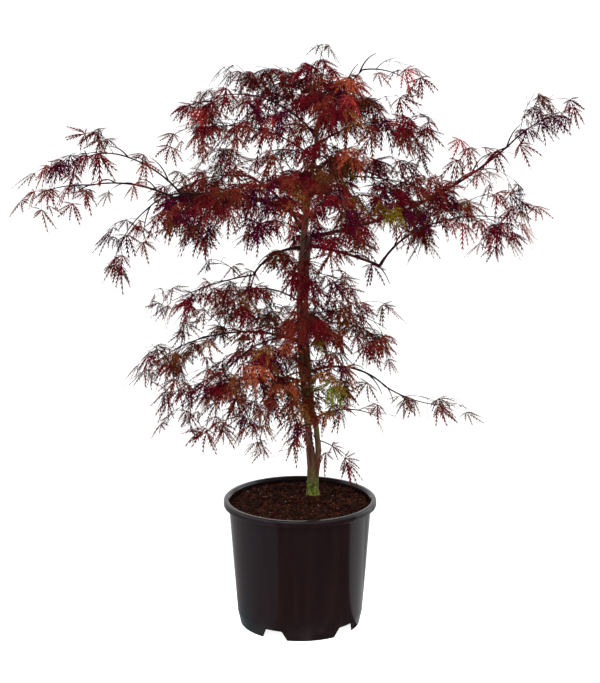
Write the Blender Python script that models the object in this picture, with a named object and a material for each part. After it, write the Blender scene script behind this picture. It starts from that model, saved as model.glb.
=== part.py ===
"""A laceleaf maple in a nursery pot: pot, compost, forked trunk, boughs and hanging masses of cut leaves.

Metres, +Z up. The origin is the centre of the pot's flat underside, and -Y is the plant's front.
"""

import math
import random

import bmesh
import bpy
from mathutils import Vector
from mathutils.bvhtree import BVHTree
from mathutils.kdtree import KDTree

# ---------------------------------------------------------------- driving dimensions (metres, degrees)

CLEARANCE = 0.0003  # left between two pieces that touch
SEAT_STEPS = 40  # slides that bring a limb's root to that clearance

POT_HEIGHT = 0.237
POT_TOP_RADIUS = 0.1311  # outside of the wall at the rim
POT_FOOT_RADIUS = 0.1137  # outside of the wall's slope, run on down to the floor
POT_WALL = 0.0022
POT_SIDES = 32
CHAMFER_HEIGHT = 0.024  # the wall draws in below this
CHAMFER_DEPTH = 0.0035
RIM_RADIUS = 0.1400
RIM_HEIGHT = 0.0125
RIM_ROUND = 0.0030
CENTRE_FOOT_RADIUS = 0.062  # the flat disc under the middle of the pot
CENTRE_FOOT_SLOPE = 0.004
FLOOR_RISE = 0.0195  # the pot's floor stands this high between the disc and the skirt
NOTCHES = 5  # openings in the skirt
NOTCH_HEIGHT = 0.018
NOTCH_FOOT_WIDTH = 0.049
NOTCH_TOP_WIDTH = 0.032
NOTCH_FIRST_AZIMUTH = 245.0

SOIL_LEVEL = POT_HEIGHT - 0.008

TRUNK_FOOT = Vector((0.024, 0.036, SOIL_LEVEL + CLEARANCE))
TRUNK_TOP = Vector((0.038, 0.004, 0.992))
TRUNK_BOW = 0.031  # how far the middle of the trunk stands to the left of its chord
TRUNK_BOW_POWER = 1.5  # above 1, the trunk stands straighter at its foot and its top
TRUNK_SIDES = 8
TRUNK_STEPS = 13  # rings above the fork
FORK_HEIGHT = 0.318
FOOT_RADIUS = 0.0102
FLARE = 0.0032  # extra radius of the root flare at the compost
FLARE_HEIGHT = 0.012
NECK_RADIUS = 0.0076  # just under the fork
STEM_RADIUS = 0.0061  # main stem, just above the fork
CROWN_RADIUS = 0.0056  # main stem where the great boughs leave it
CROWN_HEIGHT = 0.74
TIP_RADIUS = 0.0016

CHEEK_TOP = FORK_HEIGHT + 0.004  # the cheek on the trunk that the second stem stands on
CHEEK_RADIUS = 0.0078
CHEEK_MIDDLE_RADIUS = 0.0069
CHEEK_TOP_RADIUS = 0.0056

SECOND_STEM_TOP = 0.722
SECOND_STEM_RADIUS = 0.0053
SECOND_STEM_TIP_RADIUS = 0.0046
SECOND_STEM_OFFSET = Vector((0.0150, -0.0010, 0.0))  # from the main stem's axis, just above the fork
STEMS_CLOSE_FROM = 0.362  # height at which the second stem starts to lean back to the main stem
STEMS_MEET = 0.388
STEMS_GAP = 0.0008  # between their barks from there up
SECOND_STEM_STEPS = 10  # from where it meets the main stem up to its top

BOUGH_SIDES = 5
BOUGH_STEP = 0.028

LEADER_RADIUS = 0.0016  # at a leader's root, and more by LEADER_TAPER for each metre of its length
LEADER_TAPER = 0.0032
LEADER_TIP_RADIUS = 0.0008
LEADER_STEP = 0.060  # length of one straight stretch of a leader
TWIG_SIDES = 3
TWIG_ROOT_SHARE = 0.62  # a side twig's root radius, as a share of its leader's
TWIG_TIP_RADIUS = 0.0007
TWIG_SPREAD = 58.0  # azimuth between a side twig and its leader, at the leader's root
TWIG_CLOSING = 0.35  # share of the spread that is lost by the leader's tip
TWIG_LIFTS = (44.0, 26.0, 2.0, -16.0)  # rise of successive side twigs over their leader's own
TWIG_DROOP = 40.0
TWIG_SHORTEST = 0.038
TWIG_REACH = 0.42  # and this share of the leader's length is added, half of it by the leader's tip
TRIES = 14  # tries to fit in a twig or a leaf

LEAF_LENGTH = 0.070  # from the leaf's hub to the tip of its middle lobe
LEAF_THICKNESS = 0.0026
LEAF_PITCH = -36.0
LEAF_SPLAY = 66.0  # azimuth between a twig and the leaves along it
LEAF_PLACES = ((0.66, 1), (0.52, -1), (0.30, 1))  # share of the twig's length, and which side
LEADER_LEAF_SPLAY = 74.0
LOBE_ANGLES = (-98.0, -48.0, 0.0, 48.0, 98.0)
LOBE_LENGTHS = (0.68, 0.94, 1.0, 0.94, 0.68)
LEAF_NOTCH = 0.20  # depth of the leaf between its lobes, as a share of its length
LEAF_DROOP = 0.30  # how far the tips hang under the leaf's own plane
STALK_LENGTH = 0.010  # from the stalk's root, inside the twig, to the hub
ROOT_DEPTH = 0.4  # how far past a twig's axis a root lies, as a share of the twig's radius
TIP_OVERLAP = 0.006  # how far back from a twig's tip the root of its end leaf lies
TIP_DIP = 6.0  # the end leaf hangs this much below the twig's tip
LEAF_WANDER = 8.0  # an aim strays this many degrees either way, and more at each new try
TWIG_WANDER = 6.0
MOST_LEAVES = 12  # in one mass

SPACE_MARGIN = 0.0015  # leaves and twigs keep this far from every other solid
SPACE_NARROWEST = 0.065  # half width of a mass with no leader, and more by SPACE_WIDENING of its length
SPACE_WIDENING = 0.32
SPACE_WIDEST = 0.120
SPACE_HALF_HEIGHT = 0.092
SPACE_SINK = 0.018  # how far the middle of a mass lies under its leader
LEADER_SAMPLE = 0.006

# Limbs: name, parent, where on the parent (metres up a stem, or 0 to 1 along a bough), azimuth, rise,
# droop, length, root radius, tip radius. Azimuth 0 is to the right, 90 to the back and 180 to the left.
LIMBS = (
    ("left_bough", "trunk", 0.752, 181, 30, 42, 0.236, 0.0036, 0.0024),
    ("left_arching_limb", "left_bough", 1.0, 178, 27, 38, 0.150, 0.0020, 0.0012),
    ("left_rising_limb", "left_bough", 0.93, 186, 52, 34, 0.125, 0.0018, 0.0012),
    ("left_hanging_limb", "left_bough", 0.84, 201, 12, 56, 0.086, 0.0016, 0.0012),
    ("left_back_bough", "trunk", 0.728, 142, 52, 36, 0.145, 0.0030, 0.0019),
    ("left_front_bough", "trunk", 0.780, 210, 40, 36, 0.100, 0.0028, 0.0019),
    ("far_right_bough", "second_stem", 1.0, 2, 8, -34, 0.390, 0.0031, 0.0017),
    ("right_low_bough", "second_stem", 0.705, -8, -8, 14, 0.128, 0.0029, 0.0023),
    ("right_low_limb", "right_low_bough", 1.0, -4, 60, 34, 0.095, 0.0022, 0.0016),
    ("right_back_bough", "trunk", 0.790, 44, 34, 42, 0.140, 0.0028, 0.0019),
    ("back_bough", "trunk", 0.765, 96, 34, 42, 0.130, 0.0030, 0.0019),
    ("front_right_bough", "trunk", 0.795, 288, 32, 40, 0.090, 0.0026, 0.0018),
    ("top_left_bough", "trunk", 0.900, 176, 52, 30, 0.100, 0.0022, 0.0015),
    ("top_right_bough", "trunk", 0.926, 2, 54, 8, 0.112, 0.0019, 0.0012),
    ("falling_bough", "trunk", 0.700, 190, 2, 62, 0.100, 0.0027, 0.0017),
    ("lower_left_bough", "trunk", 0.525, 184, 22, 26, 0.112, 0.0026, 0.0017),
    ("lower_right_bough", "second_stem", 0.468, 0, 22, 68, 0.145, 0.0024, 0.0015),
    ("lower_right_twig", "second_stem", 0.378, -8, 34, 32, 0.060, 0.0018, 0.0013),
)

# Masses of leaves: name, parent, where on it, azimuth, rise, droop, leader's length, side twigs.
MASSES = (
    ("crown_tip", "trunk", 1.0, 70, 84, 60, 0.052, 2),
    ("top_left_mass", "top_left_bough", 1.0, 182, 22, 46, 0.122, 4),
    ("top_right_mass", "top_right_bough", 1.0, 2, 8, 38, 0.072, 2),
    ("top_front_mass", "trunk", 0.945, 282, 52, 80, 0.150, 4),
    ("top_back_mass", "trunk", 0.955, 124, 36, 56, 0.170, 5),
    ("upper_left_mass", "trunk", 0.862, 186, 42, 60, 0.232, 6),
    ("upper_right_mass", "trunk", 0.884, 350, 38, 54, 0.190, 5),
    ("upper_back_mass", "trunk", 0.905, 70, 42, 54, 0.190, 4),
    ("far_left_tip", "left_arching_limb", 1.0, 180, 4, 28, 0.095, 2),
    ("far_left_cluster", "left_rising_limb", 1.0, 184, 18, 48, 0.082, 3),
    ("far_left_hanging_mass", "left_hanging_limb", 1.0, 198, -36, 30, 0.080, 2),
    ("left_back_mass", "left_back_bough", 1.0, 156, 5, 38, 0.158, 5),
    ("left_front_mass", "left_front_bough", 1.0, 200, 6, 42, 0.148, 6),
    ("front_left_mass", "trunk", 0.818, 228, 22, 52, 0.200, 5),
    ("front_mass", "trunk", 0.856, 282, 26, 74, 0.240, 5),
    ("front_right_mass", "front_right_bough", 1.0, 292, 8, 36, 0.150, 4),
    ("right_mass", "trunk", 0.820, 352, 14, 40, 0.235, 6),
    ("far_right_tip", "far_right_bough", 1.0, 2, 46, 26, 0.105, 3),
    ("far_right_mass", "far_right_bough", 0.68, 326, 46, 54, 0.100, 4),
    ("right_low_mass", "right_low_limb", 1.0, 354, 26, 38, 0.166, 5),
    ("right_under_mass", "right_low_bough", 0.45, 322, 16, 44, 0.055, 1),
    ("right_back_mass", "right_back_bough", 1.0, 36, -18, 36, 0.170, 4),
    ("back_mass", "back_bough", 1.0, 90, -16, 32, 0.160, 4),
    ("falling_mass", "falling_bough", 1.0, 186, -8, 18, 0.150, 5),
    ("lower_left_mass", "lower_left_bough", 1.0, 184, -2, 38, 0.165, 6),
    ("lower_left_low_mass", "trunk", 0.452, 190, 14, 48, 0.228, 6),
    ("lower_front_left_mass", "trunk", 0.530, 220, 18, 64, 0.190, 5),
    ("lower_front_mass", "trunk", 0.664, 280, 14, 70, 0.150, 4),
    ("lower_front_low_mass", "trunk", 0.468, 228, 8, 64, 0.140, 4),
    ("lower_front_foot_mass", "trunk", 0.443, 268, 12, 58, 0.120, 3),
    ("lower_front_right_mass", "second_stem", 0.555, 300, 14, 64, 0.134, 4),
    ("lower_right_high_mass", "second_stem", 0.575, 350, 18, 52, 0.146, 4),
    ("lower_right_tip", "lower_right_bough", 1.0, 2, -34, -34, 0.130, 2),
    ("lower_right_low_mass", "lower_right_twig", 1.0, 354, 2, 36, 0.070, 2),
    ("lower_back_right_mass", "trunk", 0.538, 42, 18, 58, 0.190, 4),
    ("lower_back_mass", "trunk", 0.540, 88, 20, 60, 0.200, 5),
    ("lower_back_left_mass", "trunk", 0.600, 138, 20, 62, 0.200, 5),
    ("foot_twig", "second_stem", 0.338, 336, -6, 40, 0.046, 0),
)

# ---------------------------------------------------------------- colours and finishes


def finish(name, colour, roughness):
    material = bpy.data.materials.new(name)
    material.use_nodes = True
    shader = material.node_tree.nodes["Principled BSDF"]
    shader.inputs["Base Color"].default_value = (*colour, 1.0)
    shader.inputs["Roughness"].default_value = roughness
    shader.inputs["Metallic"].default_value = 0.0
    return material


# ---------------------------------------------------------------- closed meshes


def new_object(name, points, faces, material):
    mesh = bpy.data.meshes.new(name)
    mesh.from_pydata(points, [], faces)
    mesh.validate()
    mesh.materials.append(material)
    placed = bpy.data.objects.new(name, mesh)
    bpy.context.scene.collection.objects.link(placed)
    return placed


def shade_round(placed, angle):
    placed.data.shade_smooth()
    placed.data.set_sharp_from_angle(angle=math.radians(angle))


def tube(name, path, radii, sides, material, level=False):
    """A closed tapering tube along path, with flat ends. Its rings stand square to the path or level."""
    points, faces = [], []
    across = None
    for i, centre in enumerate(path):
        along = (path[min(i + 1, len(path) - 1)] - path[max(i - 1, 0)]).normalized()
        if level:
            along = Vector((0, 0, 1))
        if across is None:
            across = along.orthogonal()
        across = (across - along * across.dot(along)).normalized()
        other = along.cross(across)
        for k in range(sides):
            turn = 2 * math.pi * k / sides
            points.append(centre + (across * math.cos(turn) + other * math.sin(turn)) * radii[i])
    for i in range(len(path) - 1):
        for k in range(sides):
            a, b = i * sides + k, i * sides + (k + 1) % sides
            faces.append((a, b, b + sides, a + sides))
    faces.append(tuple(reversed(range(sides))))
    faces.append(tuple(range(len(points) - sides, len(points))))
    return new_object(name, points, faces, material)


def surface(placed):
    return BVHTree.FromPolygons(
        [vert.co for vert in placed.data.vertices], [face.vertices for face in placed.data.polygons]
    )


def turned(name, profile, material):
    """A solid of revolution about Z, whose profile runs from the axis round to the axis."""
    shape = bmesh.new()
    ring = [shape.verts.new((radius, 0.0, height)) for radius, height in profile]
    edges = [shape.edges.new(pair) for pair in zip(ring, ring[1:])]
    bmesh.ops.spin(
        shape, geom=ring + edges, axis=(0, 0, 1), cent=(0, 0, 0), steps=POT_SIDES,
        angle=2 * math.pi, use_merge=True, use_duplicate=False,
    )
    bmesh.ops.remove_doubles(shape, verts=shape.verts, dist=1e-6)
    bmesh.ops.recalc_face_normals(shape, faces=shape.faces)
    mesh = bpy.data.meshes.new(name)
    shape.to_mesh(mesh)
    shape.free()
    mesh.materials.append(material)
    placed = bpy.data.objects.new(name, mesh)
    bpy.context.scene.collection.objects.link(placed)
    return placed


# ---------------------------------------------------------------- the pot and its compost


def wall_radius(height):
    """Outside radius of the pot's wall."""
    slope = POT_FOOT_RADIUS + (POT_TOP_RADIUS - POT_FOOT_RADIUS) * height / POT_HEIGHT
    return slope - CHAMFER_DEPTH * max(0.0, 1 - height / CHAMFER_HEIGHT)


def floor_profile(lift, inset):
    """The pot's floor from the axis outwards: a centre foot, then the raised floor up to the wall."""
    rise = FLOOR_RISE + lift
    foot = CENTRE_FOOT_RADIUS - inset
    return [(0.0, lift), (foot, lift), (foot + CENTRE_FOOT_SLOPE, rise)]


def make_pot(material):
    rim_foot = POT_HEIGHT - RIM_HEIGHT
    under = floor_profile(0.0, 0.0)
    skirt = [
        (wall_radius(FLOOR_RISE) - POT_WALL, FLOOR_RISE),
        (wall_radius(0.0) - POT_WALL, 0.0),
        (wall_radius(0.0), 0.0),
        (wall_radius(CHAMFER_HEIGHT), CHAMFER_HEIGHT),
    ]
    rim = [
        (wall_radius(rim_foot), rim_foot),
        (RIM_RADIUS - RIM_ROUND / 2, rim_foot),
        (RIM_RADIUS, rim_foot + RIM_ROUND / 2),
        (RIM_RADIUS, POT_HEIGHT - RIM_ROUND),
        (RIM_RADIUS - RIM_ROUND, POT_HEIGHT),
        (POT_TOP_RADIUS, POT_HEIGHT),
        (POT_TOP_RADIUS - POT_WALL, POT_HEIGHT - RIM_ROUND),
    ]
    floor_top = FLOOR_RISE + POT_WALL
    inside = [
        (wall_radius(CHAMFER_HEIGHT) - POT_WALL, CHAMFER_HEIGHT + POT_WALL),
        (wall_radius(floor_top) - POT_WALL, floor_top),
    ]
    above = floor_profile(POT_WALL, POT_WALL / 2)
    pot = turned("pot", under + skirt + rim + inside + above[::-1], material)
    for i in range(NOTCHES):
        cutter = notch_cutter(i, material)
        cut = pot.modifiers.new(cutter.name, "BOOLEAN")
        cut.operation = "DIFFERENCE"
        cut.object = cutter
    shade_round(pot, 35)
    return pot


def notch_cutter(number, material):
    """A block with sloping ends that opens one notch in the skirt."""
    inner, outer, under = POT_FOOT_RADIUS - 0.02, POT_FOOT_RADIUS + 0.02, -0.01
    slope = (NOTCH_FOOT_WIDTH - NOTCH_TOP_WIDTH) / 2 / NOTCH_HEIGHT
    corners = []
    for radius in (inner, outer):
        for height in (under, NOTCH_HEIGHT):
            half = NOTCH_FOOT_WIDTH / 2 - slope * height
            corners += [(radius, -half, height), (radius, half, height)]
    faces = [(2, 3, 1, 0), (5, 7, 6, 4), (1, 5, 4, 0), (6, 7, 3, 2), (4, 6, 2, 0), (3, 7, 5, 1)]
    cutter = new_object(f"notch_cutter_{number + 1}", corners, faces, material)
    cutter.rotation_euler.z = math.radians(NOTCH_FIRST_AZIMUTH + 360 / NOTCHES * number)
    cutter.hide_render = True
    cutter.display_type = "WIRE"
    return cutter


def make_soil(material):
    lift = POT_WALL + CLEARANCE
    gap = POT_WALL + CLEARANCE
    floor_top = FLOOR_RISE + lift
    edge = wall_radius(SOIL_LEVEL) - gap
    outside = [
        (wall_radius(floor_top) - gap, floor_top + CLEARANCE),
        (wall_radius(CHAMFER_HEIGHT) - gap, CHAMFER_HEIGHT + gap),
        (edge, SOIL_LEVEL - 0.003),
        (edge - 0.006, SOIL_LEVEL),
        (0.0, SOIL_LEVEL),
    ]
    soil = turned("compost", floor_profile(lift, POT_WALL) + outside, material)
    shade_round(soil, 35)
    return soil


# ---------------------------------------------------------------- trunk and boughs


class Limb:
    """A tapering limb: its centre line, the radius along it and its surface."""

    def __init__(self, name, path, radii):
        self.name, self.path, self.radii = name, path, radii
        self.skin = None

    def at(self, share):
        """Centre, direction and radius at a share of the limb's length."""
        place = min(max(share, 0.0), 1.0) * (len(self.path) - 1)
        i = min(int(place), len(self.path) - 2)
        part = place - i
        centre = self.path[i].lerp(self.path[i + 1], part)
        along = (self.path[i + 1] - self.path[i]).normalized()
        return centre, along, self.radii[i] * (1 - part) + self.radii[i + 1] * part

    def at_height(self, height):
        for i in range(len(self.path) - 1):
            low, high = self.path[i].z, self.path[i + 1].z
            if low <= height <= high:
                return self.at((i + (height - low) / (high - low)) / (len(self.path) - 1))
        return self.at(1.0)


def heading(azimuth, rise):
    turn, lift = math.radians(azimuth), math.radians(rise)
    return Vector((math.cos(lift) * math.cos(turn), math.cos(lift) * math.sin(turn), math.sin(lift)))


def arc(start, azimuth, rise, droop, length, steps):
    """A path that leaves start at rise degrees and bends down by droop degrees along its length."""
    path = [start.copy()]
    for i in range(steps):
        path.append(path[-1] + heading(azimuth, rise - droop * (i + 0.5) / steps) * (length / steps))
    return path


def taper(root, tip, count):
    return [root + (tip - root) * i / (count - 1) for i in range(count)]


def trunk_centre(height):
    share = (height - TRUNK_FOOT.z) / (TRUNK_TOP.z - TRUNK_FOOT.z)
    centre = TRUNK_FOOT.lerp(TRUNK_TOP, share)
    centre.x -= TRUNK_BOW * max(0.0, math.sin(math.pi * share)) ** TRUNK_BOW_POWER
    return centre


def trunk_radius(height):
    above = height - TRUNK_FOOT.z
    if height < FORK_HEIGHT:
        share = above / (FORK_HEIGHT - TRUNK_FOOT.z)
        flare = FLARE * math.exp(-above / FLARE_HEIGHT)
        return FOOT_RADIUS + (NECK_RADIUS - FOOT_RADIUS) * share + flare
    if height < CROWN_HEIGHT:
        share = (height - FORK_HEIGHT) / (CROWN_HEIGHT - FORK_HEIGHT)
        return STEM_RADIUS + (CROWN_RADIUS - STEM_RADIUS) * share
    share = (height - CROWN_HEIGHT) / (TRUNK_TOP.z - CROWN_HEIGHT)
    return CROWN_RADIUS + (TIP_RADIUS - CROWN_RADIUS) * share


def trunk_limb():
    flare = [TRUNK_FOOT.z + FLARE_HEIGHT * share for share in (0.0, 0.4, 1.0, 2.2)]
    neck = [FORK_HEIGHT - 0.03, FORK_HEIGHT, FORK_HEIGHT + 0.02]
    step = (TRUNK_TOP.z - neck[-1]) / TRUNK_STEPS
    upper = [neck[-1] + step * (i + 1) for i in range(TRUNK_STEPS)]
    heights = flare + neck + upper
    return Limb("trunk", [trunk_centre(z) for z in heights], [trunk_radius(z) for z in heights])


def fork_cheek(trunk_material):
    """The swelling on the trunk's right that the second stem stands on, fused to the trunk."""
    levels = [(TRUNK_FOOT.z + FLARE_HEIGHT, 0.1), (FORK_HEIGHT - 0.03, 0.45), (CHEEK_TOP, 1.0)]
    path = [trunk_centre(height) + SECOND_STEM_OFFSET * share for height, share in levels]
    radii = [CHEEK_RADIUS, CHEEK_MIDDLE_RADIUS, CHEEK_TOP_RADIUS]
    return tube("fork_cheek", path, radii, TRUNK_SIDES, trunk_material, level=True)


def second_stem_offset(height, radius):
    """From the main stem's axis: the second stem stands off it above the fork, then runs close by it."""
    together = min(1.0, max(0.0, (height - STEMS_CLOSE_FROM) / (STEMS_MEET - STEMS_CLOSE_FROM)))
    close = trunk_radius(height) + radius + STEMS_GAP
    apart = SECOND_STEM_OFFSET.x * (1 - together) + close * together
    return Vector((apart, SECOND_STEM_OFFSET.y, 0.0))


def second_stem_limb():
    start = CHEEK_TOP + CLEARANCE
    heights = [start, STEMS_CLOSE_FROM, STEMS_MEET]
    heights += [STEMS_MEET + (SECOND_STEM_TOP - STEMS_MEET) * (i + 1) / SECOND_STEM_STEPS
                for i in range(SECOND_STEM_STEPS)]
    path, radii = [], []
    for height in heights:
        share = (height - start) / (SECOND_STEM_TOP - start)
        radii.append(SECOND_STEM_RADIUS + (SECOND_STEM_TIP_RADIUS - SECOND_STEM_RADIUS) * share)
        path.append(trunk_centre(height) + second_stem_offset(height, radii[-1]))
    return Limb("second_stem", path, radii)


def root_point(parent, where, direction, radius):
    """Where a limb's flat root stands clear of its parent: off its tip, or off its side."""
    on_stem = where < 1.0 and parent.name in ("trunk", "second_stem")
    centre, along, thick = parent.at_height(where) if on_stem else parent.at(where)
    lean = direction.angle(along)
    if where >= 1.0:
        return centre + direction * (CLEARANCE + (thick + radius) * math.sin(lean))
    away = math.sin(lean)
    return centre + direction * ((thick + CLEARANCE + radius * abs(math.cos(lean))) / away)


def seated(path, radius, sides, carrier):
    """Slides a path back along its first stretch until its flat root stands CLEARANCE off its carrier."""
    along = (path[1] - path[0]).normalized()
    across = along.orthogonal().normalized()
    other = along.cross(across)
    for _ in range(SEAT_STEPS):
        probes = [path[0]]
        for k in range(2 * sides):
            turn = math.pi * k / sides
            reach = (across * math.cos(turn) + other * math.sin(turn)) * radius
            probes += [path[0] + reach, path[0] + reach / 2]
        gap = min(carrier.skin.find_nearest(probe)[3] for probe in probes)
        path = [point - along * (gap - CLEARANCE) for point in path]
    return path


def grow_limbs(limbs, material):
    solids = []
    for name, parent, where, azimuth, rise, droop, length, root, tip in LIMBS:
        start = root_point(limbs[parent], where, heading(azimuth, rise), root)
        steps = max(3, round(length / BOUGH_STEP))
        path = seated(arc(start, azimuth, rise, droop, length, steps), root, BOUGH_SIDES, limbs[parent])
        limbs[name] = Limb(name, path, taper(root, tip, len(path)))
        solids.append(tube(name, path, limbs[name].radii, BOUGH_SIDES, material))
        limbs[name].skin = surface(solids[-1])
    return solids


# ---------------------------------------------------------------- masses of leaves


class Space:
    """The ellipsoid round its leader that one mass keeps to."""

    def __init__(self, leader):
        span = leader[-1] - leader[0]
        self.along = span.normalized()
        self.across = Vector((0, 0, 1)).cross(self.along).normalized()
        self.up = self.along.cross(self.across)
        self.centre = (leader[0] + leader[-1]) / 2 - Vector((0, 0, SPACE_SINK))
        half_width = min(SPACE_WIDEST, SPACE_NARROWEST + SPACE_WIDENING * span.length)
        self.halves = (span.length / 2 + LEAF_LENGTH, half_width, SPACE_HALF_HEIGHT)

    def holds(self, point):
        off = point - self.centre
        parts = (off.dot(self.along), off.dot(self.across), off.dot(self.up))
        return sum((part / half) ** 2 for part, half in zip(parts, self.halves)) < 1.0


class Surroundings:
    """What a mass keeps clear of: the limbs, the other masses' leaders and the masses already grown."""

    def __init__(self, limb_solids, masses):
        self.solids = [surface(placed) for placed in limb_solids]
        samples = [(point, mass.name) for mass in masses for point in closely(mass.leader)]
        self.owners = [owner for _, owner in samples]
        self.leaders = KDTree(len(samples))
        for i, (point, _) in enumerate(samples):
            self.leaders.insert(point, i)
        self.leaders.balance()

    def add(self, placed):
        self.solids.append(surface(placed))

    def are_clear(self, point, owner):
        """Whether a point is nearer the owner's leader than another one, and clear of every solid."""
        if self.owners[self.leaders.find(point)[1]] != owner:
            return False
        return all(solid.find_nearest(point, SPACE_MARGIN)[0] is None for solid in self.solids)

    def touched_by(self, skin):
        return any(solid.overlap(skin) for solid in self.solids)


def closely(path):
    """Points every few millimetres along a path."""
    points = []
    for start, end in zip(path, path[1:]):
        count = math.ceil((end - start).length / LEADER_SAMPLE)
        points += [start.lerp(end, i / count) for i in range(count)]
    return points + [path[-1]]


class Leaf:
    """A drooping leaf of pointed lobes, thickest at its hub, whose stalk narrows to its root."""

    def __init__(self, root, azimuth, pitch, length):
        ahead = heading(azimuth, pitch)
        side = heading(azimuth - 90, 0)
        normal = side.cross(ahead)
        self.hub = root + ahead * STALK_LENGTH
        self.outline = [root]
        for i, angle in enumerate(LOBE_ANGLES):
            if i:
                between = math.radians((angle + LOBE_ANGLES[i - 1]) / 2)
                notch = length * LEAF_NOTCH
                inward = ahead * math.cos(between) + side * math.sin(between)
                self.outline.append(self.hub + inward * notch)
            turn, reach = math.radians(angle), length * LOBE_LENGTHS[i]
            sag = normal * (-LEAF_DROOP * reach * LOBE_LENGTHS[i])
            self.outline.append(self.hub + (ahead * math.cos(turn) + side * math.sin(turn)) * reach + sag)
        self.crowns = [self.hub + normal * (LEAF_THICKNESS / 2), self.hub - normal * (LEAF_THICKNESS / 2)]

    def tests(self):
        return self.outline[1:] + [self.hub.lerp(point, 0.6) for point in self.outline[1:]]

    def solid(self, material):
        count = len(self.outline)
        faces = []
        for i in range(count):
            j = (i + 1) % count
            faces += [(j, i, count), (i, j, count + 1)]
        return new_object("leaf", self.outline + self.crowns, faces, material)


class Mass:
    """One mass: a leader, opposite side twigs off it, and a leaf on each tip and joint."""

    def __init__(self, row, limbs):
        self.name, parent, where, self.azimuth, self.rise, self.droop, self.length, self.twigs = row
        self.random = random.Random(self.name)
        self.root = LEADER_RADIUS + LEADER_TAPER * self.length
        start = root_point(limbs[parent], where, heading(self.azimuth, self.rise), self.root)
        steps = max(2, round(self.length / LEADER_STEP))
        path = arc(start, self.azimuth, self.rise, self.droop, self.length, steps)
        self.leader = seated(path, self.root, TWIG_SIDES, limbs[parent])
        self.space = Space(self.leader)
        self.pieces, self.skins, self.leaf_count = [], [], 0

    def free(self, point):
        return self.space.holds(point) and self.around.are_clear(point, self.name)

    def add_piece(self, piece, carrier):
        """Keeps a piece that touches nothing but its carrier, and removes any other."""
        skin = surface(piece)
        others = [other for other in self.skins if other is not carrier]
        if self.around.touched_by(skin) or any(skin.overlap(other) for other in others):
            bpy.data.meshes.remove(piece.data)
            return None
        self.pieces.append(piece)
        self.skins.append(skin)
        return skin

    def add_leaf(self, place, carrier, azimuth, pitch, depth):
        """Hangs one leaf, turned or made smaller until it keeps to the space; otherwise it is skipped."""
        if self.leaf_count == MOST_LEAVES:
            return
        for attempt in range(TRIES):
            turn = azimuth + self.random.uniform(-LEAF_WANDER, LEAF_WANDER) * (1 + attempt)
            slope = pitch + self.random.uniform(-LEAF_WANDER, LEAF_WANDER) * (1 + attempt / 3)
            length = LEAF_LENGTH * self.random.uniform(0.92, 1.1) * (1 - 0.03 * attempt)
            leaf = Leaf(place - heading(turn, slope) * depth, turn, slope, length)
            if all(self.free(point) for point in leaf.tests()):
                if self.add_piece(leaf.solid(self.material), carrier):
                    self.leaf_count += 1
                    return

    def add_twig(self, root, carrier, root_radius, azimuth, rise, side, length):
        """A side twig with leaves at its tip and along it, turned or made shorter to find its way."""
        for attempt in range(TRIES):
            turn = azimuth + self.random.uniform(-TWIG_WANDER, TWIG_WANDER) * attempt
            path = arc(root, turn, rise, TWIG_DROOP, length * (1 - 0.05 * attempt), 2)
            if not all(self.free(point) for point in path[1:]):
                continue
            radii = [root_radius, min(root_radius, TWIG_TIP_RADIUS)]
            twig = tube("twig", [path[0], path[-1]], radii, TWIG_SIDES, self.material)
            skin = self.add_piece(twig, carrier)
            if skin:
                along = (path[-1] - path[0]).normalized()
                self.add_leaf(path[-1] - along * TIP_OVERLAP, skin, turn, rise - TWIG_DROOP - TIP_DIP, 0)
                for share, hand in LEAF_PLACES:
                    place = path[0].lerp(path[-1], share)
                    splay = hand * side * LEAF_SPLAY
                    self.add_leaf(place, skin, turn + splay, LEAF_PITCH, ROOT_DEPTH * radii[1])
                return

    def grow(self, around, material):
        self.around, self.material = around, material
        radii = taper(self.root, LEADER_TIP_RADIUS, len(self.leader))
        stem = tube(self.name, self.leader, radii, TWIG_SIDES, material)
        skin = surface(stem)
        self.skins = [skin]
        leader = Limb(self.name, self.leader, radii)
        tip, along, _ = leader.at(1.0)
        self.add_leaf(tip - along * TIP_OVERLAP, skin, self.azimuth, self.rise - self.droop - TIP_DIP, 0)
        for i in range(self.twigs):
            share = (i + 0.8) / (self.twigs + 0.6)
            side = 1 if i % 2 else -1
            centre, _, thick = leader.at(share)
            spread = TWIG_SPREAD * (1 - TWIG_CLOSING * share)
            spread += self.random.uniform(-TWIG_WANDER, TWIG_WANDER)
            azimuth = self.azimuth + side * spread
            rise = self.rise - self.droop * share + TWIG_LIFTS[i % len(TWIG_LIFTS)]
            length = TWIG_SHORTEST + TWIG_REACH * self.length * (1 - 0.5 * share)
            length *= self.random.uniform(0.9, 1.15)
            self.add_twig(centre, skin, thick * TWIG_ROOT_SHARE, azimuth, rise, side, length)
        for i in range(self.twigs):
            centre, _, thick = leader.at((i + 1) / (self.twigs + 1))
            hand = -1 if i % 2 else 1
            splay = hand * LEADER_LEAF_SPLAY
            self.add_leaf(centre, skin, self.azimuth + splay, LEAF_PITCH, ROOT_DEPTH * thick)
        return self.fuse(stem)

    def fuse(self, stem):
        """Joins the twigs and leaves to the stem, and keeps only the outer skin of the one body."""
        if not self.pieces:
            return stem
        group = bpy.data.collections.new(self.name + "_pieces")
        for piece in self.pieces:
            group.objects.link(piece)
        join = stem.modifiers.new("join", "BOOLEAN")
        join.operation = "UNION"
        join.operand_type = "COLLECTION"
        join.collection = group
        join.solver = "MANIFOLD"
        graph = bpy.context.evaluated_depsgraph_get()
        fused = bpy.data.meshes.new_from_object(stem.evaluated_get(graph))
        stem.modifiers.clear()
        old, stem.data = stem.data, fused
        bpy.data.meshes.remove(old)
        for piece in self.pieces:
            bpy.data.meshes.remove(piece.data)
        bpy.data.collections.remove(group)
        keep_largest_shell(stem)
        return stem


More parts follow.
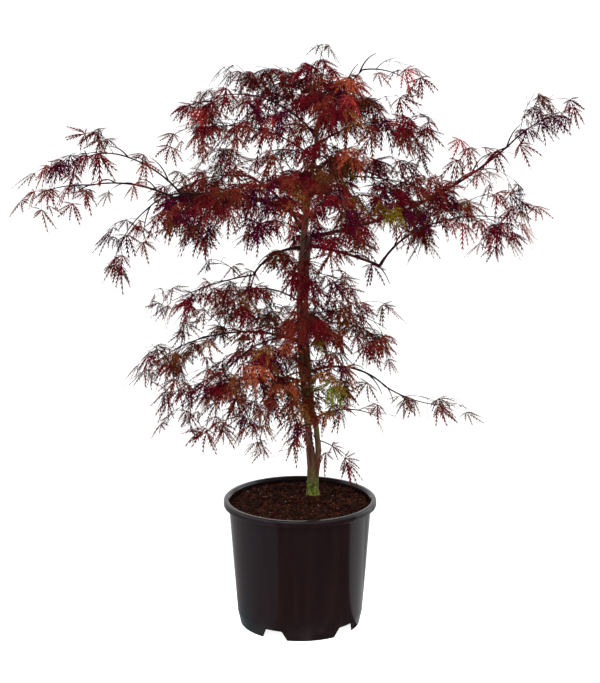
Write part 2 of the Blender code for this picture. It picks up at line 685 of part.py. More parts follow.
def keep_largest_shell(placed):
    """Drops loose scraps, and fills a hollow by dropping its inner skin."""
    shape = bmesh.new()
    shape.from_mesh(placed.data)
    shells, seen = [], set()
    for first in shape.faces:
        if first in seen:
            continue
        shell, unread = {first}, [first]
        while unread:
            for edge in unread.pop().edges:
                fresh = [face for face in edge.link_faces if face not in shell]
                shell.update(fresh)
                unread += fresh
        seen |= shell
        shells.append(shell)
    largest = max(shells, key=len)
    bmesh.ops.delete(shape, geom=[face for face in shape.faces if face not in largest], context="FACES")
    shape.to_mesh(placed.data)
    shape.free()


# ---------------------------------------------------------------- the whole plant


def fuse_pair(base, added):
    join = base.modifiers.new("join", "BOOLEAN")
    join.operation = "UNION"
    join.object = added
    graph = bpy.context.evaluated_depsgraph_get()
    fused = bpy.data.meshes.new_from_object(base.evaluated_get(graph))
    base.modifiers.clear()
    base.data = fused
    bpy.data.objects.remove(added)


def build():
    for placed in list(bpy.data.objects):
        bpy.data.objects.remove(placed)
    plastic = finish("pot_plastic", (0.020, 0.020, 0.023), 0.38)
    peat = finish("bark_compost", (0.045, 0.022, 0.014), 0.95)
    bark = finish("maple_bark", (0.150, 0.095, 0.055), 0.80)
    shoot = finish("young_bark", (0.085, 0.028, 0.030), 0.60)
    leaves = finish("laceleaf", (0.160, 0.018, 0.022), 0.55)

    make_pot(plastic)
    make_soil(peat)

    trunk_line, second_line = trunk_limb(), second_stem_limb()
    trunk = tube("trunk", trunk_line.path, trunk_line.radii, TRUNK_SIDES, bark, level=True)
    fuse_pair(trunk, fork_cheek(bark))
    second = tube("second_stem", second_line.path, second_line.radii, TRUNK_SIDES, bark, level=True)
    trunk_line.skin, second_line.skin = surface(trunk), surface(second)
    limbs = {"trunk": trunk_line, "second_stem": second_line}
    solids = [trunk, second] + grow_limbs(limbs, shoot)
    for placed in solids:
        shade_round(placed, 60)

    masses = [Mass(row, limbs) for row in MASSES]
    around = Surroundings(solids, masses)
    for mass in masses:
        around.add(mass.grow(around, leaves))


build()
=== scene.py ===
import math
import random

import bmesh
import bpy
import numpy as np
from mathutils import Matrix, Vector, noise


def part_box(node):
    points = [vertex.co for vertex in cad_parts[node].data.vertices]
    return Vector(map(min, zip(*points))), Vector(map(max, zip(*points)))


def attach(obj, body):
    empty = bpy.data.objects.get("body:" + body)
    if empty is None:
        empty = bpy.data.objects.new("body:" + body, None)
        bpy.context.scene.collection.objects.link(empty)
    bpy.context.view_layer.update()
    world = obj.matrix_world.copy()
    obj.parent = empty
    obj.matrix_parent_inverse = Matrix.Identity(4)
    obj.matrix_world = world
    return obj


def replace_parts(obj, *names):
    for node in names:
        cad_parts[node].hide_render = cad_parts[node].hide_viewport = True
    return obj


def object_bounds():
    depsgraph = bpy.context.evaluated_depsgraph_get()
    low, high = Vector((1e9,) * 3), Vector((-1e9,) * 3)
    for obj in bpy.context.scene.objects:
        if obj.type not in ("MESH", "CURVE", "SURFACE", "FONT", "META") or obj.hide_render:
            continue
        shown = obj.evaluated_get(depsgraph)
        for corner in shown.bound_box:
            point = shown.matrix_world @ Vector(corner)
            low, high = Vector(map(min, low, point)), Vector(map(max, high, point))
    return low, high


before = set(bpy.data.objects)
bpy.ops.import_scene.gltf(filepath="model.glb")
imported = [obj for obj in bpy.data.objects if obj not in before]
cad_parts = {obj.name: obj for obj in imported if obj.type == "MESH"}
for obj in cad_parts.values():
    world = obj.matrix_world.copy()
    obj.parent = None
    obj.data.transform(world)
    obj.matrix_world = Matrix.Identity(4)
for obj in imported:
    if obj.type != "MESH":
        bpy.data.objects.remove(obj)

cad_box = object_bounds()
scene = bpy.context.scene

# ---------------------------------------------------------------- camera
# The camera stands well back and above the crown's top, and looks a little down, so the compost shows.
# Its long lens keeps the pot's sides nearly upright.

CAMERA_PLACE = (0.0, -3.60, 1.40)
CAMERA_TILT = 76.44  # degrees from straight down
LENS = 108.4

camera = bpy.data.objects.new("camera", bpy.data.cameras.new("camera"))
camera.location = CAMERA_PLACE
camera.rotation_euler = (math.radians(CAMERA_TILT), 0.0, 0.0)
camera.data.lens = LENS
scene.collection.objects.link(camera)
scene.camera = camera
scene.view_settings.view_transform = "Standard"

# ---------------------------------------------------------------- the pot
# A 10 litre nursery container of black polypropylene, injection moulded in one piece with a rolled rim,
# a drawn-in foot and a notched skirt. It is satin, a little streaked, and dusty at the foot.

POT_TOP, POT_RIM_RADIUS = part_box("pot")[1].z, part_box("pot")[1].x
WALL_TOP_RADIUS = 0.1311
WALL_FOOT_RADIUS = 0.1137
WALL = 0.0022
FOOT_HEIGHT = 0.024
FOOT_DRAWN_IN = 0.0035
RIM_HEIGHT = 0.0125
FLOOR_RISE = 0.0195
CENTRE_FOOT_RADIUS = 0.062
CENTRE_FOOT_SLOPE = 0.004
LIP_WIDTH = 0.0008  # flat top of the rim inside its roll
LIP_DIP = 0.0040
POT_STEPS = 240
FILLET_STEPS = 5
NOTCHES = 5
NOTCH_HEIGHT = 0.018
NOTCH_FOOT_WIDTH = 0.049
NOTCH_TOP_WIDTH = 0.032
NOTCH_FILLET = 0.0045
NOTCH_FIRST_AZIMUTH = 245.0
CUTTER_REACH = 0.02  # a notch's cutter runs this far in and out from the wall
CUTTER_DROP = 0.01
DUST_HEIGHT = 0.045


def wall_radius(height):
    slope = WALL_FOOT_RADIUS + (WALL_TOP_RADIUS - WALL_FOOT_RADIUS) * height / POT_TOP
    return slope - FOOT_DRAWN_IN * max(0.0, 1 - height / FOOT_HEIGHT)


def filleted(corners):
    """A line through corners, each (across, up, fillet), with its corners rounded by arcs."""
    line = []
    for i, (across, up, fillet) in enumerate(corners):
        here = Vector((across, up))
        if fillet == 0:
            line.append(here)
            continue
        before = (Vector(corners[i - 1][:2]) - here).normalized()
        after = (Vector(corners[(i + 1) % len(corners)][:2]) - here).normalized()
        reach = fillet / math.tan(before.angle(after) / 2)
        start, end = here + before * reach, here + after * reach
        for k in range(FILLET_STEPS + 1):
            share = k / FILLET_STEPS
            line.append(start * (1 - share) ** 2 + here * 2 * share * (1 - share) + end * share ** 2)
    return line


def new_mesh(name, points, faces):
    mesh = bpy.data.meshes.new(name)
    mesh.from_pydata(points, [], faces)
    return mesh


def new_piece(name, mesh, material, smooth_angle=None):
    """An object that rides on the plant's one body."""
    mesh.materials.append(material)
    if smooth_angle:
        mesh.shade_smooth()
        mesh.set_sharp_from_angle(angle=math.radians(smooth_angle))
    piece = bpy.data.objects.new(name, mesh)
    scene.collection.objects.link(piece)
    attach(piece, "root")
    return piece


def turned_mesh(name, line, steps):
    """A solid of revolution about Z, whose line runs from the axis round to the axis."""
    shape = bmesh.new()
    ring = [shape.verts.new((point.x, 0.0, point.y)) for point in line]
    edges = [shape.edges.new(pair) for pair in zip(ring, ring[1:])]
    bmesh.ops.spin(
        shape, geom=ring + edges, axis=(0, 0, 1), cent=(0, 0, 0), steps=steps,
        angle=2 * math.pi, use_merge=True, use_duplicate=False,
    )
    bmesh.ops.remove_doubles(shape, verts=shape.verts, dist=1e-6)
    bmesh.ops.recalc_face_normals(shape, faces=shape.faces)
    mesh = bpy.data.meshes.new(name)
    shape.to_mesh(mesh)
    shape.free()
    return mesh


def feed(tree, socket, value):
    """Sets a socket to a number or a colour, or links it to another node's output."""
    if isinstance(value, bpy.types.NodeSocket):
        tree.links.new(value, socket)
    else:
        socket.default_value = (*value, 1.0) if socket.type == "RGBA" else value


def add_node(tree, kind, **inputs):
    made = tree.nodes.new("ShaderNode" + kind)
    for key, value in inputs.items():
        feed(tree, made.inputs[key.replace("_", " ")], value)
    return made


def grain(tree, scale, stretch=(1.0, 1.0, 1.0), detail=5.0, distortion=0.0):
    """Noise in the plant's own coordinates, stretched along an axis by a small number there."""
    place = add_node(tree, "TexCoord").outputs["Object"]
    mapped = add_node(tree, "Mapping", Vector=place, Scale=stretch).outputs["Vector"]
    made = add_node(tree, "TexNoise", Vector=mapped, Scale=scale, Detail=detail, Distortion=distortion)
    return made.outputs["Fac"]


def ramp(tree, source, stops):
    """Colours, or shades of grey, at places along a 0 to 1 source."""
    made = add_node(tree, "ValToRGB", Fac=source)
    while len(made.color_ramp.elements) < len(stops):
        made.color_ramp.elements.new(0.5)
    for element, (place, colour) in zip(made.color_ramp.elements, stops):
        element.position = place
        element.color = (*colour, 1.0) if isinstance(colour, tuple) else (colour, colour, colour, 1.0)
    return made.outputs["Color"]


def blend(tree, share, first, second):
    """The first colour where share is 0, and the second where it is 1."""
    made = add_node(tree, "Mix")
    made.data_type = "RGBA"
    for place, value in ((0, share), (6, first), (7, second)):
        feed(tree, made.inputs[place], value)
    return made.outputs[2]


def coat(tree, shader, colour, relief, strength, distance):
    """Gives a finish its colour and its fine relief."""
    made = add_node(tree, "Bump", Height=relief, Strength=strength, Distance=distance)
    tree.links.new(colour, shader.inputs["Base Color"])
    tree.links.new(made.outputs["Normal"], shader.inputs["Normal"])


def new_material(name, roughness, specular):
    material = bpy.data.materials.new(name)
    material.use_nodes = True
    shader = material.node_tree.nodes["Principled BSDF"]
    shader.inputs["Roughness"].default_value = roughness
    shader.inputs["Specular IOR Level"].default_value = specular
    return material, material.node_tree, shader


def height_over_floor(tree):
    place = add_node(tree, "TexCoord").outputs["Object"]
    return add_node(tree, "SeparateXYZ", Vector=place).outputs["Z"]


def share_between(tree, source, low, high):
    """0 where the source is low, and 1 where it is high or past it."""
    return add_node(tree, "MapRange", Value=source, From_Min=low, From_Max=high).outputs["Result"]


def height_share(tree, low, high):
    return share_between(tree, height_over_floor(tree), low, high)


def pot_plastic():
    material, tree, shader = new_material("pot_plastic", 0.12, 0.21)
    shader.inputs["Specular Tint"].default_value = (0.74, 0.87, 1.0, 1.0)
    streaks = grain(tree, 60.0, (1.0, 1.0, 0.06))
    clean = ramp(tree, streaks, ((0.35, (0.0098, 0.0045, 0.0050)), (0.7, (0.0132, 0.0066, 0.0070))))
    dust = grain(tree, 34.0, detail=8.0)
    dusty = ramp(tree, dust, ((0.45, (0.0085, 0.0055, 0.0058)), (0.75, (0.020, 0.016, 0.016))))
    colour = blend(tree, height_share(tree, DUST_HEIGHT, 0.0), clean, dusty)
    rough = ramp(tree, grain(tree, 18.0, (1.0, 1.0, 0.25)), ((0.3, 0.09), (0.7, 0.16)))
    tree.links.new(rough, shader.inputs["Roughness"])
    coat(tree, shader, colour, grain(tree, 900.0, detail=2.0), 0.12, 0.0002)
    return material


def notched(mesh):
    """Opens the rounded notches in the skirt."""
    slope = (NOTCH_FOOT_WIDTH - NOTCH_TOP_WIDTH) / 2 / NOTCH_HEIGHT
    foot = NOTCH_FOOT_WIDTH / 2 + slope * CUTTER_DROP
    top = NOTCH_TOP_WIDTH / 2
    outline = filleted((
        (-foot, -CUTTER_DROP, 0), (foot, -CUTTER_DROP, 0),
        (top, NOTCH_HEIGHT, NOTCH_FILLET), (-top, NOTCH_HEIGHT, NOTCH_FILLET),
    ))
    count = len(outline)
    ends = (WALL_FOOT_RADIUS - CUTTER_REACH, WALL_FOOT_RADIUS + CUTTER_REACH)
    points = [(radius, point.x, point.y) for radius in ends for point in outline]
    faces = [tuple(reversed(range(count))), tuple(range(count, 2 * count))]
    faces += [(k, (k + 1) % count, (k + 1) % count + count, k + count) for k in range(count)]
    shell = bpy.data.objects.new("shell", mesh)
    scene.collection.objects.link(shell)
    cutters = []
    for i in range(NOTCHES):
        cutter = bpy.data.objects.new("notch", new_mesh("notch", points, faces))
        cutter.rotation_euler.z = math.radians(NOTCH_FIRST_AZIMUTH + 360 / NOTCHES * i)
        scene.collection.objects.link(cutter)
        cut = shell.modifiers.new("notch", "BOOLEAN")
        cut.operation = "DIFFERENCE"
        cut.object = cutter
        cutters.append(cutter)
    graph = bpy.context.evaluated_depsgraph_get()
    result = bpy.data.meshes.new_from_object(shell.evaluated_get(graph))
    for spent in cutters + [shell]:
        bpy.data.objects.remove(spent)
    result.name = "pot_shell"
    return result


rim_foot = POT_TOP - RIM_HEIGHT
floor_top = FLOOR_RISE + WALL
pot_line = filleted((
    # across, up, fillet
    (0.0, 0.0, 0),
    (CENTRE_FOOT_RADIUS, 0.0, 0.0015),
    (CENTRE_FOOT_RADIUS + CENTRE_FOOT_SLOPE, FLOOR_RISE, 0.0015),
    (wall_radius(FLOOR_RISE) - WALL, FLOOR_RISE, 0.001),
    (wall_radius(0.0) - WALL, 0.0, 0.0004),
    (wall_radius(0.0), 0.0, 0.0009),
    (wall_radius(FOOT_HEIGHT), FOOT_HEIGHT, 0.012),
    (wall_radius(rim_foot), rim_foot, 0.0012),
    (POT_RIM_RADIUS, rim_foot, 0.0030),
    (POT_RIM_RADIUS, POT_TOP, 0.0042),
    (WALL_TOP_RADIUS + LIP_WIDTH, POT_TOP, 0.0012),
    (WALL_TOP_RADIUS - WALL, POT_TOP - LIP_DIP, 0.0010),
    (wall_radius(FOOT_HEIGHT) - WALL, FOOT_HEIGHT + WALL, 0.006),
    (wall_radius(floor_top) - WALL, floor_top, 0.001),
    (CENTRE_FOOT_RADIUS + CENTRE_FOOT_SLOPE - WALL / 2, floor_top, 0.001),
    (CENTRE_FOOT_RADIUS - WALL / 2, WALL, 0.001),
    (0.0, WALL, 0),
))
pot = new_piece("pot_shell", notched(turned_mesh("pot_shell", pot_line, POT_STEPS)), pot_plastic(), 32)
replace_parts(pot, "pot")

# ---------------------------------------------------------------- the compost
# Moist composted bark and peat, filled to just under the rim: a lumpy dark surface under loose chips
# of bark, dark, red brown and pale, with a few grains of grit.

SOIL_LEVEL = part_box("compost")[1].z
SOIL_RADIUS = wall_radius(SOIL_LEVEL) - WALL - 0.0002
SOIL_FOOT = floor_top + 0.001
SOIL_FOOT_RADIUS = wall_radius(SOIL_FOOT) - WALL - 0.0006
SOIL_RINGS = 46
SOIL_STEPS = 180
LUMP_HEIGHT = 0.0030
LUMPS_PER_METRE = 85
EDGE_DIP = 0.0045  # the surface falls off to the wall from EDGE_FROM of its radius on
EDGE_FROM = 0.86
MOUND_HEIGHT = 0.003
MOUND_SPREAD = 0.0012
CHIP_KINDS = {
    # number, smallest and largest size, colour
    "dark": (620, 0.0030, 0.0075, (0.014, 0.0050, 0.0032)),
    "red": (260, 0.0026, 0.0065, (0.052, 0.0130, 0.0070)),
    "tan": (90, 0.0018, 0.0042, (0.100, 0.0440, 0.0200)),
    "grit": (60, 0.0010, 0.0022, (0.380, 0.3300, 0.2700)),
}
CHIP_THICKNESS = 0.18
CHIP_TILT = 0.6
CHIP_LIFT = 0.12
CHIP_WALL_GAP = 0.005
CHIP_TRUNK_GAP = 0.014
TRUNK_FOOT = Vector((0.024, 0.036, SOIL_LEVEL))


def soil_height(x, y):
    lumps = noise.fractal(Vector((x, y, 0.3)) * LUMPS_PER_METRE, 0.9, 2.1, 4) * LUMP_HEIGHT
    edge = max(0.0, math.hypot(x, y) / SOIL_RADIUS - EDGE_FROM) / (1 - EDGE_FROM)
    off_trunk = (x - TRUNK_FOOT.x) ** 2 + (y - TRUNK_FOOT.y) ** 2
    return SOIL_LEVEL + lumps - EDGE_DIP * edge ** 2 + MOUND_HEIGHT * math.exp(-off_trunk / MOUND_SPREAD)


def soil_ring(radius):
    turns = [2 * math.pi * k / SOIL_STEPS for k in range(SOIL_STEPS)]
    return [(radius * math.cos(turn), radius * math.sin(turn)) for turn in turns]


def soil_mesh():
    """The lumpy top, with the sides and the floor of the filling under it."""
    points = [(0.0, 0.0, soil_height(0.0, 0.0))]
    for i in range(1, SOIL_RINGS + 1):
        points += [(x, y, soil_height(x, y)) for x, y in soil_ring(SOIL_RADIUS * i / SOIL_RINGS)]
    points += [(x, y, SOIL_FOOT) for x, y in soil_ring(SOIL_FOOT_RADIUS)]
    faces = [(0, 1 + k, 1 + (k + 1) % SOIL_STEPS) for k in range(SOIL_STEPS)]
    for i in range(SOIL_RINGS):
        for k in range(SOIL_STEPS):
            a = 1 + i * SOIL_STEPS + k
            b = 1 + i * SOIL_STEPS + (k + 1) % SOIL_STEPS
            faces.append((a, a + SOIL_STEPS, b + SOIL_STEPS, b))
    first = 1 + SOIL_RINGS * SOIL_STEPS
    faces.append(tuple(reversed(range(first, first + SOIL_STEPS))))
    return new_mesh("compost_surface", points, faces)


def chips_mesh(name, count, smallest, largest, seed):
    """Flat broken chips that lie at odd angles on the compost."""
    dice = random.Random(seed)
    points, faces = [], []
    for _ in range(count):
        reach = math.sqrt(dice.random()) * (SOIL_RADIUS - CHIP_WALL_GAP)
        turn = dice.uniform(0, 2 * math.pi)
        x, y = reach * math.cos(turn), reach * math.sin(turn)
        if math.hypot(x - TRUNK_FOOT.x, y - TRUNK_FOOT.y) < CHIP_TRUNK_GAP:
            continue
        size = dice.uniform(smallest, largest)
        halves = Vector((size * dice.uniform(0.6, 1.0), size * dice.uniform(0.3, 0.7), size * CHIP_THICKNESS))
        tilt = Vector((dice.uniform(-CHIP_TILT, CHIP_TILT), dice.uniform(-CHIP_TILT, CHIP_TILT), 1))
        upward = tilt.normalized()
        along = Vector((math.cos(turn * 7), math.sin(turn * 7), 0)).cross(upward).normalized()
        across = upward.cross(along)
        centre = Vector((x, y, soil_height(x, y) + size * CHIP_LIFT))
        first = len(points)
        for up in (-1, 1):
            for a, b in ((-1, -1), (1, -1), (1, 1), (-1, 1)):
                wear = dice.uniform(0.55, 1.0)
                corner = along * (a * halves.x * wear) + across * (b * halves.y * wear)
                points.append(centre + corner + upward * (up * halves.z * dice.uniform(0.6, 1.0)))
        for face in ((3, 2, 1, 0), (4, 5, 6, 7), (0, 1, 5, 4), (1, 2, 6, 5), (2, 3, 7, 6), (3, 0, 4, 7)):
            faces.append(tuple(first + corner for corner in face))
    return new_mesh(name, points, faces)


def speckled(name, colour, roughness, scale, relief, spread=0.45, specular=0.25):
    """A finish of one colour with lighter and darker grains."""
    material, tree, shader = new_material(name, roughness, specular)
    dark = tuple(part * (1 - spread) for part in colour)
    light = tuple(part * (1 + spread) for part in colour)
    speckles = grain(tree, scale, detail=6.0)
    coat(tree, shader, ramp(tree, speckles, ((0.35, dark), (0.65, light))), speckles, 0.6, relief)
    return material


def compost_finish():
    material, tree, shader = new_material("compost_dark", 0.92, 0.02)
    clods = grain(tree, 260.0, detail=8.0, distortion=0.6)
    colour = ramp(tree, clods, (
        (0.30, (0.004, 0.0014, 0.0010)), (0.48, (0.017, 0.0048, 0.0026)),
        (0.60, (0.062, 0.0170, 0.0080)), (0.76, (0.140, 0.0560, 0.0260)),
    ))
    coat(tree, shader, colour, clods, 1.0, 0.0022)
    return material


compost = new_piece("compost_surface", soil_mesh(), compost_finish(), 60)
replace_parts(compost, "compost")
for chip_kind, (chip_count, chip_least, chip_most, chip_colour) in CHIP_KINDS.items():
    chips = chips_mesh("compost_" + chip_kind, chip_count, chip_least, chip_most, chip_kind)
    chip_finish = speckled("bark_chip_" + chip_kind, chip_colour, 0.85, 420.0, 0.0004, specular=0.04)
    new_piece("compost_" + chip_kind, chips, chip_finish)

# ---------------------------------------------------------------- the trunk and the second stem
# A young maple's smooth bark over a slim trunk that forks low down. Its two stems run up side by side.
# The bark is olive brown with fine upright seams and green patches, reddish at the fork and mossy at the
# foot.

TRUNK_TOP = Vector((0.038, 0.004, 0.992))
TRUNK_BOW = 0.031
TRUNK_BOW_POWER = 1.5
FORK_HEIGHT = 0.318
FOOT_RADIUS = 0.0102
FLARE = 0.0040
FLARE_HEIGHT = 0.012
NECK_RADIUS = 0.0076
SHOULDER_LENGTH = 0.012  # above the fork the neck thins to the stem over this
STEM_RADIUS = 0.0061
CROWN_RADIUS = 0.0056
CROWN_HEIGHT = 0.74
TIP_RADIUS = 0.0014
SECOND_STEM_TOP = 0.722
SECOND_STEM_RADIUS = 0.0053
SECOND_STEM_TIP_RADIUS = 0.0046
SECOND_STEM_FOOT_SWELL = 0.0018
SECOND_STEM_OFFSET = Vector((0.0150, -0.0010, 0.0))
SECOND_STEM_LEANS_FROM = 0.006  # over the compost
SECOND_STEM_LEAST_LEAN = 0.12
STEMS_CLOSE_FROM = 0.362
STEMS_MEET = 0.388
STEM_BURIED = 0.004
STEM_STEP = 0.0030
STEM_SIDES = 28
SEAM_DEPTH = 0.00055
SEAMS_PER_METRE = 420
SEAM_BREAKS_PER_METRE = 38
BARK_LUMPS = 0.07
BARK_LUMPS_PER_METRE = 90
NODE_GAP = 0.062
NODE_SWELL = 0.10
NODE_WIDTH = 0.0032
RED_FORK = (0.262, 0.352)  # heights that the bark's colours change between, here and in the next two
UPPER_BARK = (0.36, 0.62)
MOSS_THINS = (0.196, 0.136)
MOSS_RAGGEDNESS = 0.190


class Limb:
    """A tapering limb: its centre line and the radius along it."""

    def __init__(self, name, path, radii):
        self.name, self.path, self.radii = name, path, radii

    def at(self, share):
        """Centre, direction and radius at a share of the limb's length."""
        place = min(max(share, 0.0), 1.0) * (len(self.path) - 1)
        i = min(int(place), len(self.path) - 2)
        part = place - i
        centre = self.path[i].lerp(self.path[i + 1], part)
        along = (self.path[i + 1] - self.path[i]).normalized()
        return centre, along, self.radii[i] * (1 - part) + self.radii[i + 1] * part

    def at_height(self, height):
        for i in range(len(self.path) - 1):
            low, high = self.path[i].z, self.path[i + 1].z
            if low <= height <= high:
                return self.at((i + (height - low) / (high - low)) / (len(self.path) - 1))
        return self.at(1.0)


def trunk_centre(height):
    share = (height - TRUNK_FOOT.z) / (TRUNK_TOP.z - TRUNK_FOOT.z)
    centre = TRUNK_FOOT.lerp(TRUNK_TOP, share)
    centre.x -= TRUNK_BOW * max(0.0, math.sin(math.pi * share)) ** TRUNK_BOW_POWER
    return centre


def trunk_radius(height):
    above = height - TRUNK_FOOT.z
    if height < FORK_HEIGHT:
        share = above / (FORK_HEIGHT - TRUNK_FOOT.z)
        return FOOT_RADIUS + (NECK_RADIUS - FOOT_RADIUS) * share + FLARE * math.exp(-above / FLARE_HEIGHT)
    if height < CROWN_HEIGHT:
        share = (height - FORK_HEIGHT) / (CROWN_HEIGHT - FORK_HEIGHT)
        shoulder = (NECK_RADIUS - STEM_RADIUS) * math.exp(-(height - FORK_HEIGHT) / SHOULDER_LENGTH)
        return STEM_RADIUS + (CROWN_RADIUS - STEM_RADIUS) * share + shoulder
    share = (height - CROWN_HEIGHT) / (TRUNK_TOP.z - CROWN_HEIGHT)
    return CROWN_RADIUS + (TIP_RADIUS - CROWN_RADIUS) * share


def second_stem_centre(height):
    """The second stem leans out of the trunk up to the fork, stands off it, and then runs against it."""
    if height < FORK_HEIGHT:
        low = TRUNK_FOOT.z + SECOND_STEM_LEANS_FROM
        lean = max(SECOND_STEM_LEAST_LEAN, (height - low) / (FORK_HEIGHT - low))
        return trunk_centre(height) + SECOND_STEM_OFFSET * lean
    together = min(1.0, max(0.0, (height - STEMS_CLOSE_FROM) / (STEMS_MEET - STEMS_CLOSE_FROM)))
    together = together * together * (3 - 2 * together)
    touching = trunk_radius(height) + second_stem_radius(height)
    apart = SECOND_STEM_OFFSET.x * (1 - together) + touching * together
    return trunk_centre(height) + Vector((apart, SECOND_STEM_OFFSET.y, 0))


def second_stem_radius(height):
    if height < FORK_HEIGHT:
        under_fork = (FORK_HEIGHT - height) / (FORK_HEIGHT - TRUNK_FOOT.z)
        return SECOND_STEM_RADIUS + SECOND_STEM_FOOT_SWELL * under_fork
    share = (height - FORK_HEIGHT) / (SECOND_STEM_TOP - FORK_HEIGHT)
    return SECOND_STEM_RADIUS + (SECOND_STEM_TIP_RADIUS - SECOND_STEM_RADIUS) * share


def grown_stem(name, centre_at, radius_at, top):
    """A stem that stands a little way into the compost and runs up to its top."""
    low = TRUNK_FOOT.z - STEM_BURIED
    count = math.ceil((top - low) / STEM_STEP)
    heights = [low + (top - low) * i / count for i in range(count + 1)]
    return Limb(name, [centre_at(z) for z in heights], [radius_at(z) for z in heights])


def hoops(path, sides):
    """For each centre of a path, the outward directions to the points of the hoop round it."""
    across = None
    for i, centre in enumerate(path):
        along = (path[min(i + 1, len(path) - 1)] - path[max(i - 1, 0)]).normalized()
        if across is None:
            across = along.orthogonal()
        across = (across - along * across.dot(along)).normalized()
        other = along.cross(across)
        turns = [2 * math.pi * k / sides for k in range(sides)]
        yield centre, [across * math.cos(turn) + other * math.sin(turn) for turn in turns]


def tube_faces(first, count, sides):
    """The sides and ends of a closed tube of count hoops, whose points are numbered from first."""
    faces = []
    for start in range(first, first + (count - 1) * sides, sides):
        for k in range(sides):
            a, b = start + k, start + (k + 1) % sides
            faces.append((a, b, b + sides, a + sides))
    last = first + (count - 1) * sides
    return faces + [tuple(reversed(range(first, first + sides))), tuple(range(last, last + sides))]


def bark_mesh(name, path, radii, sides, seam, node_gap, swell):
    """A closed tube with upright seams, swollen nodes and unevenness in its bark."""
    points = []
    run = 0.0
    for i, (centre, directions) in enumerate(hoops(path, sides)):
        run += (centre - path[i - 1]).length if i else 0.0
        off_node = abs((run / node_gap) % 1.0 - 0.5) * node_gap
        ring = 1 + swell * math.exp(-(off_node / NODE_WIDTH) ** 2)
        for out in directions:
            x, y, z = centre + out * radii[i]
            seams = noise.noise(Vector((x * SEAMS_PER_METRE, y * SEAMS_PER_METRE, z * SEAM_BREAKS_PER_METRE)))
            lumps = noise.noise(Vector((x, y, z)) * BARK_LUMPS_PER_METRE)
            points.append(centre + out * (radii[i] * (ring + BARK_LUMPS * lumps) + seam * seams))
    return new_mesh(name, points, tube_faces(0, len(path), sides))


def stem_bark():
    material, tree, shader = new_material("maple_stem_bark", 0.72, 0.25)
    seams = grain(tree, 190.0, (1.0, 1.0, 0.10), detail=8.0)
    patches = grain(tree, 42.0, (1.0, 1.0, 0.45), detail=5.0)
    brown = ramp(tree, seams, (
        (0.30, (0.018, 0.011, 0.006)), (0.48, (0.078, 0.054, 0.020)), (0.68, (0.160, 0.118, 0.052)),
    ))
    green = ramp(tree, seams, ((0.3, (0.018, 0.022, 0.004)), (0.65, (0.095, 0.120, 0.018))))
    red = ramp(tree, seams, ((0.3, (0.030, 0.010, 0.006)), (0.65, (0.150, 0.055, 0.030))))
    moss = ramp(tree, grain(tree, 260.0, detail=8.0), (
        (0.34, (0.012, 0.014, 0.003)), (0.50, (0.080, 0.098, 0.008)), (0.68, (0.230, 0.260, 0.028)),
    ))
    upper = ramp(tree, seams, ((0.3, (0.020, 0.008, 0.006)), (0.65, (0.115, 0.052, 0.032))))
    algae = ramp(tree, patches, ((0.47, 0.0), (0.60, 0.85)))
    colour = blend(tree, algae, brown, green)
    near_fork = height_share(tree, *RED_FORK)
    reddened = ramp(tree, near_fork, ((0.0, 0.0), (0.35, 0.9), (0.65, 0.75), (1.0, 0.0)))
    colour = blend(tree, reddened, colour, red)
    colour = blend(tree, height_share(tree, *UPPER_BARK), colour, upper)
    ragged = add_node(tree, "Math")
    ragged.operation = "MULTIPLY_ADD"
    for socket, value in zip(ragged.inputs, (patches, -MOSS_RAGGEDNESS, height_over_floor(tree))):
        feed(tree, socket, value)
    colour = blend(tree, share_between(tree, ragged.outputs[0], *MOSS_THINS), colour, moss)
    coat(tree, shader, colour, seams, 0.8, 0.0007)
    return material


stem_finish = stem_bark()
trunk = grown_stem("trunk", trunk_centre, trunk_radius, TRUNK_TOP.z)
second_stem = grown_stem("second_stem", second_stem_centre, second_stem_radius, SECOND_STEM_TOP)
for stem in (trunk, second_stem):
    bark_name = stem.name + "_bark"
    stem_mesh = bark_mesh(bark_name, stem.path, stem.radii, STEM_SIDES, SEAM_DEPTH, NODE_GAP, NODE_SWELL)
    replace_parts(new_piece(bark_name, stem_mesh, stem_finish, 60), stem.name)

# ---------------------------------------------------------------- the boughs
# Slim boughs, each growing out of a swollen collar and thinning evenly. Their young bark is smooth and
# dark purple brown, with pale pores and a ring at each pair of old buds.

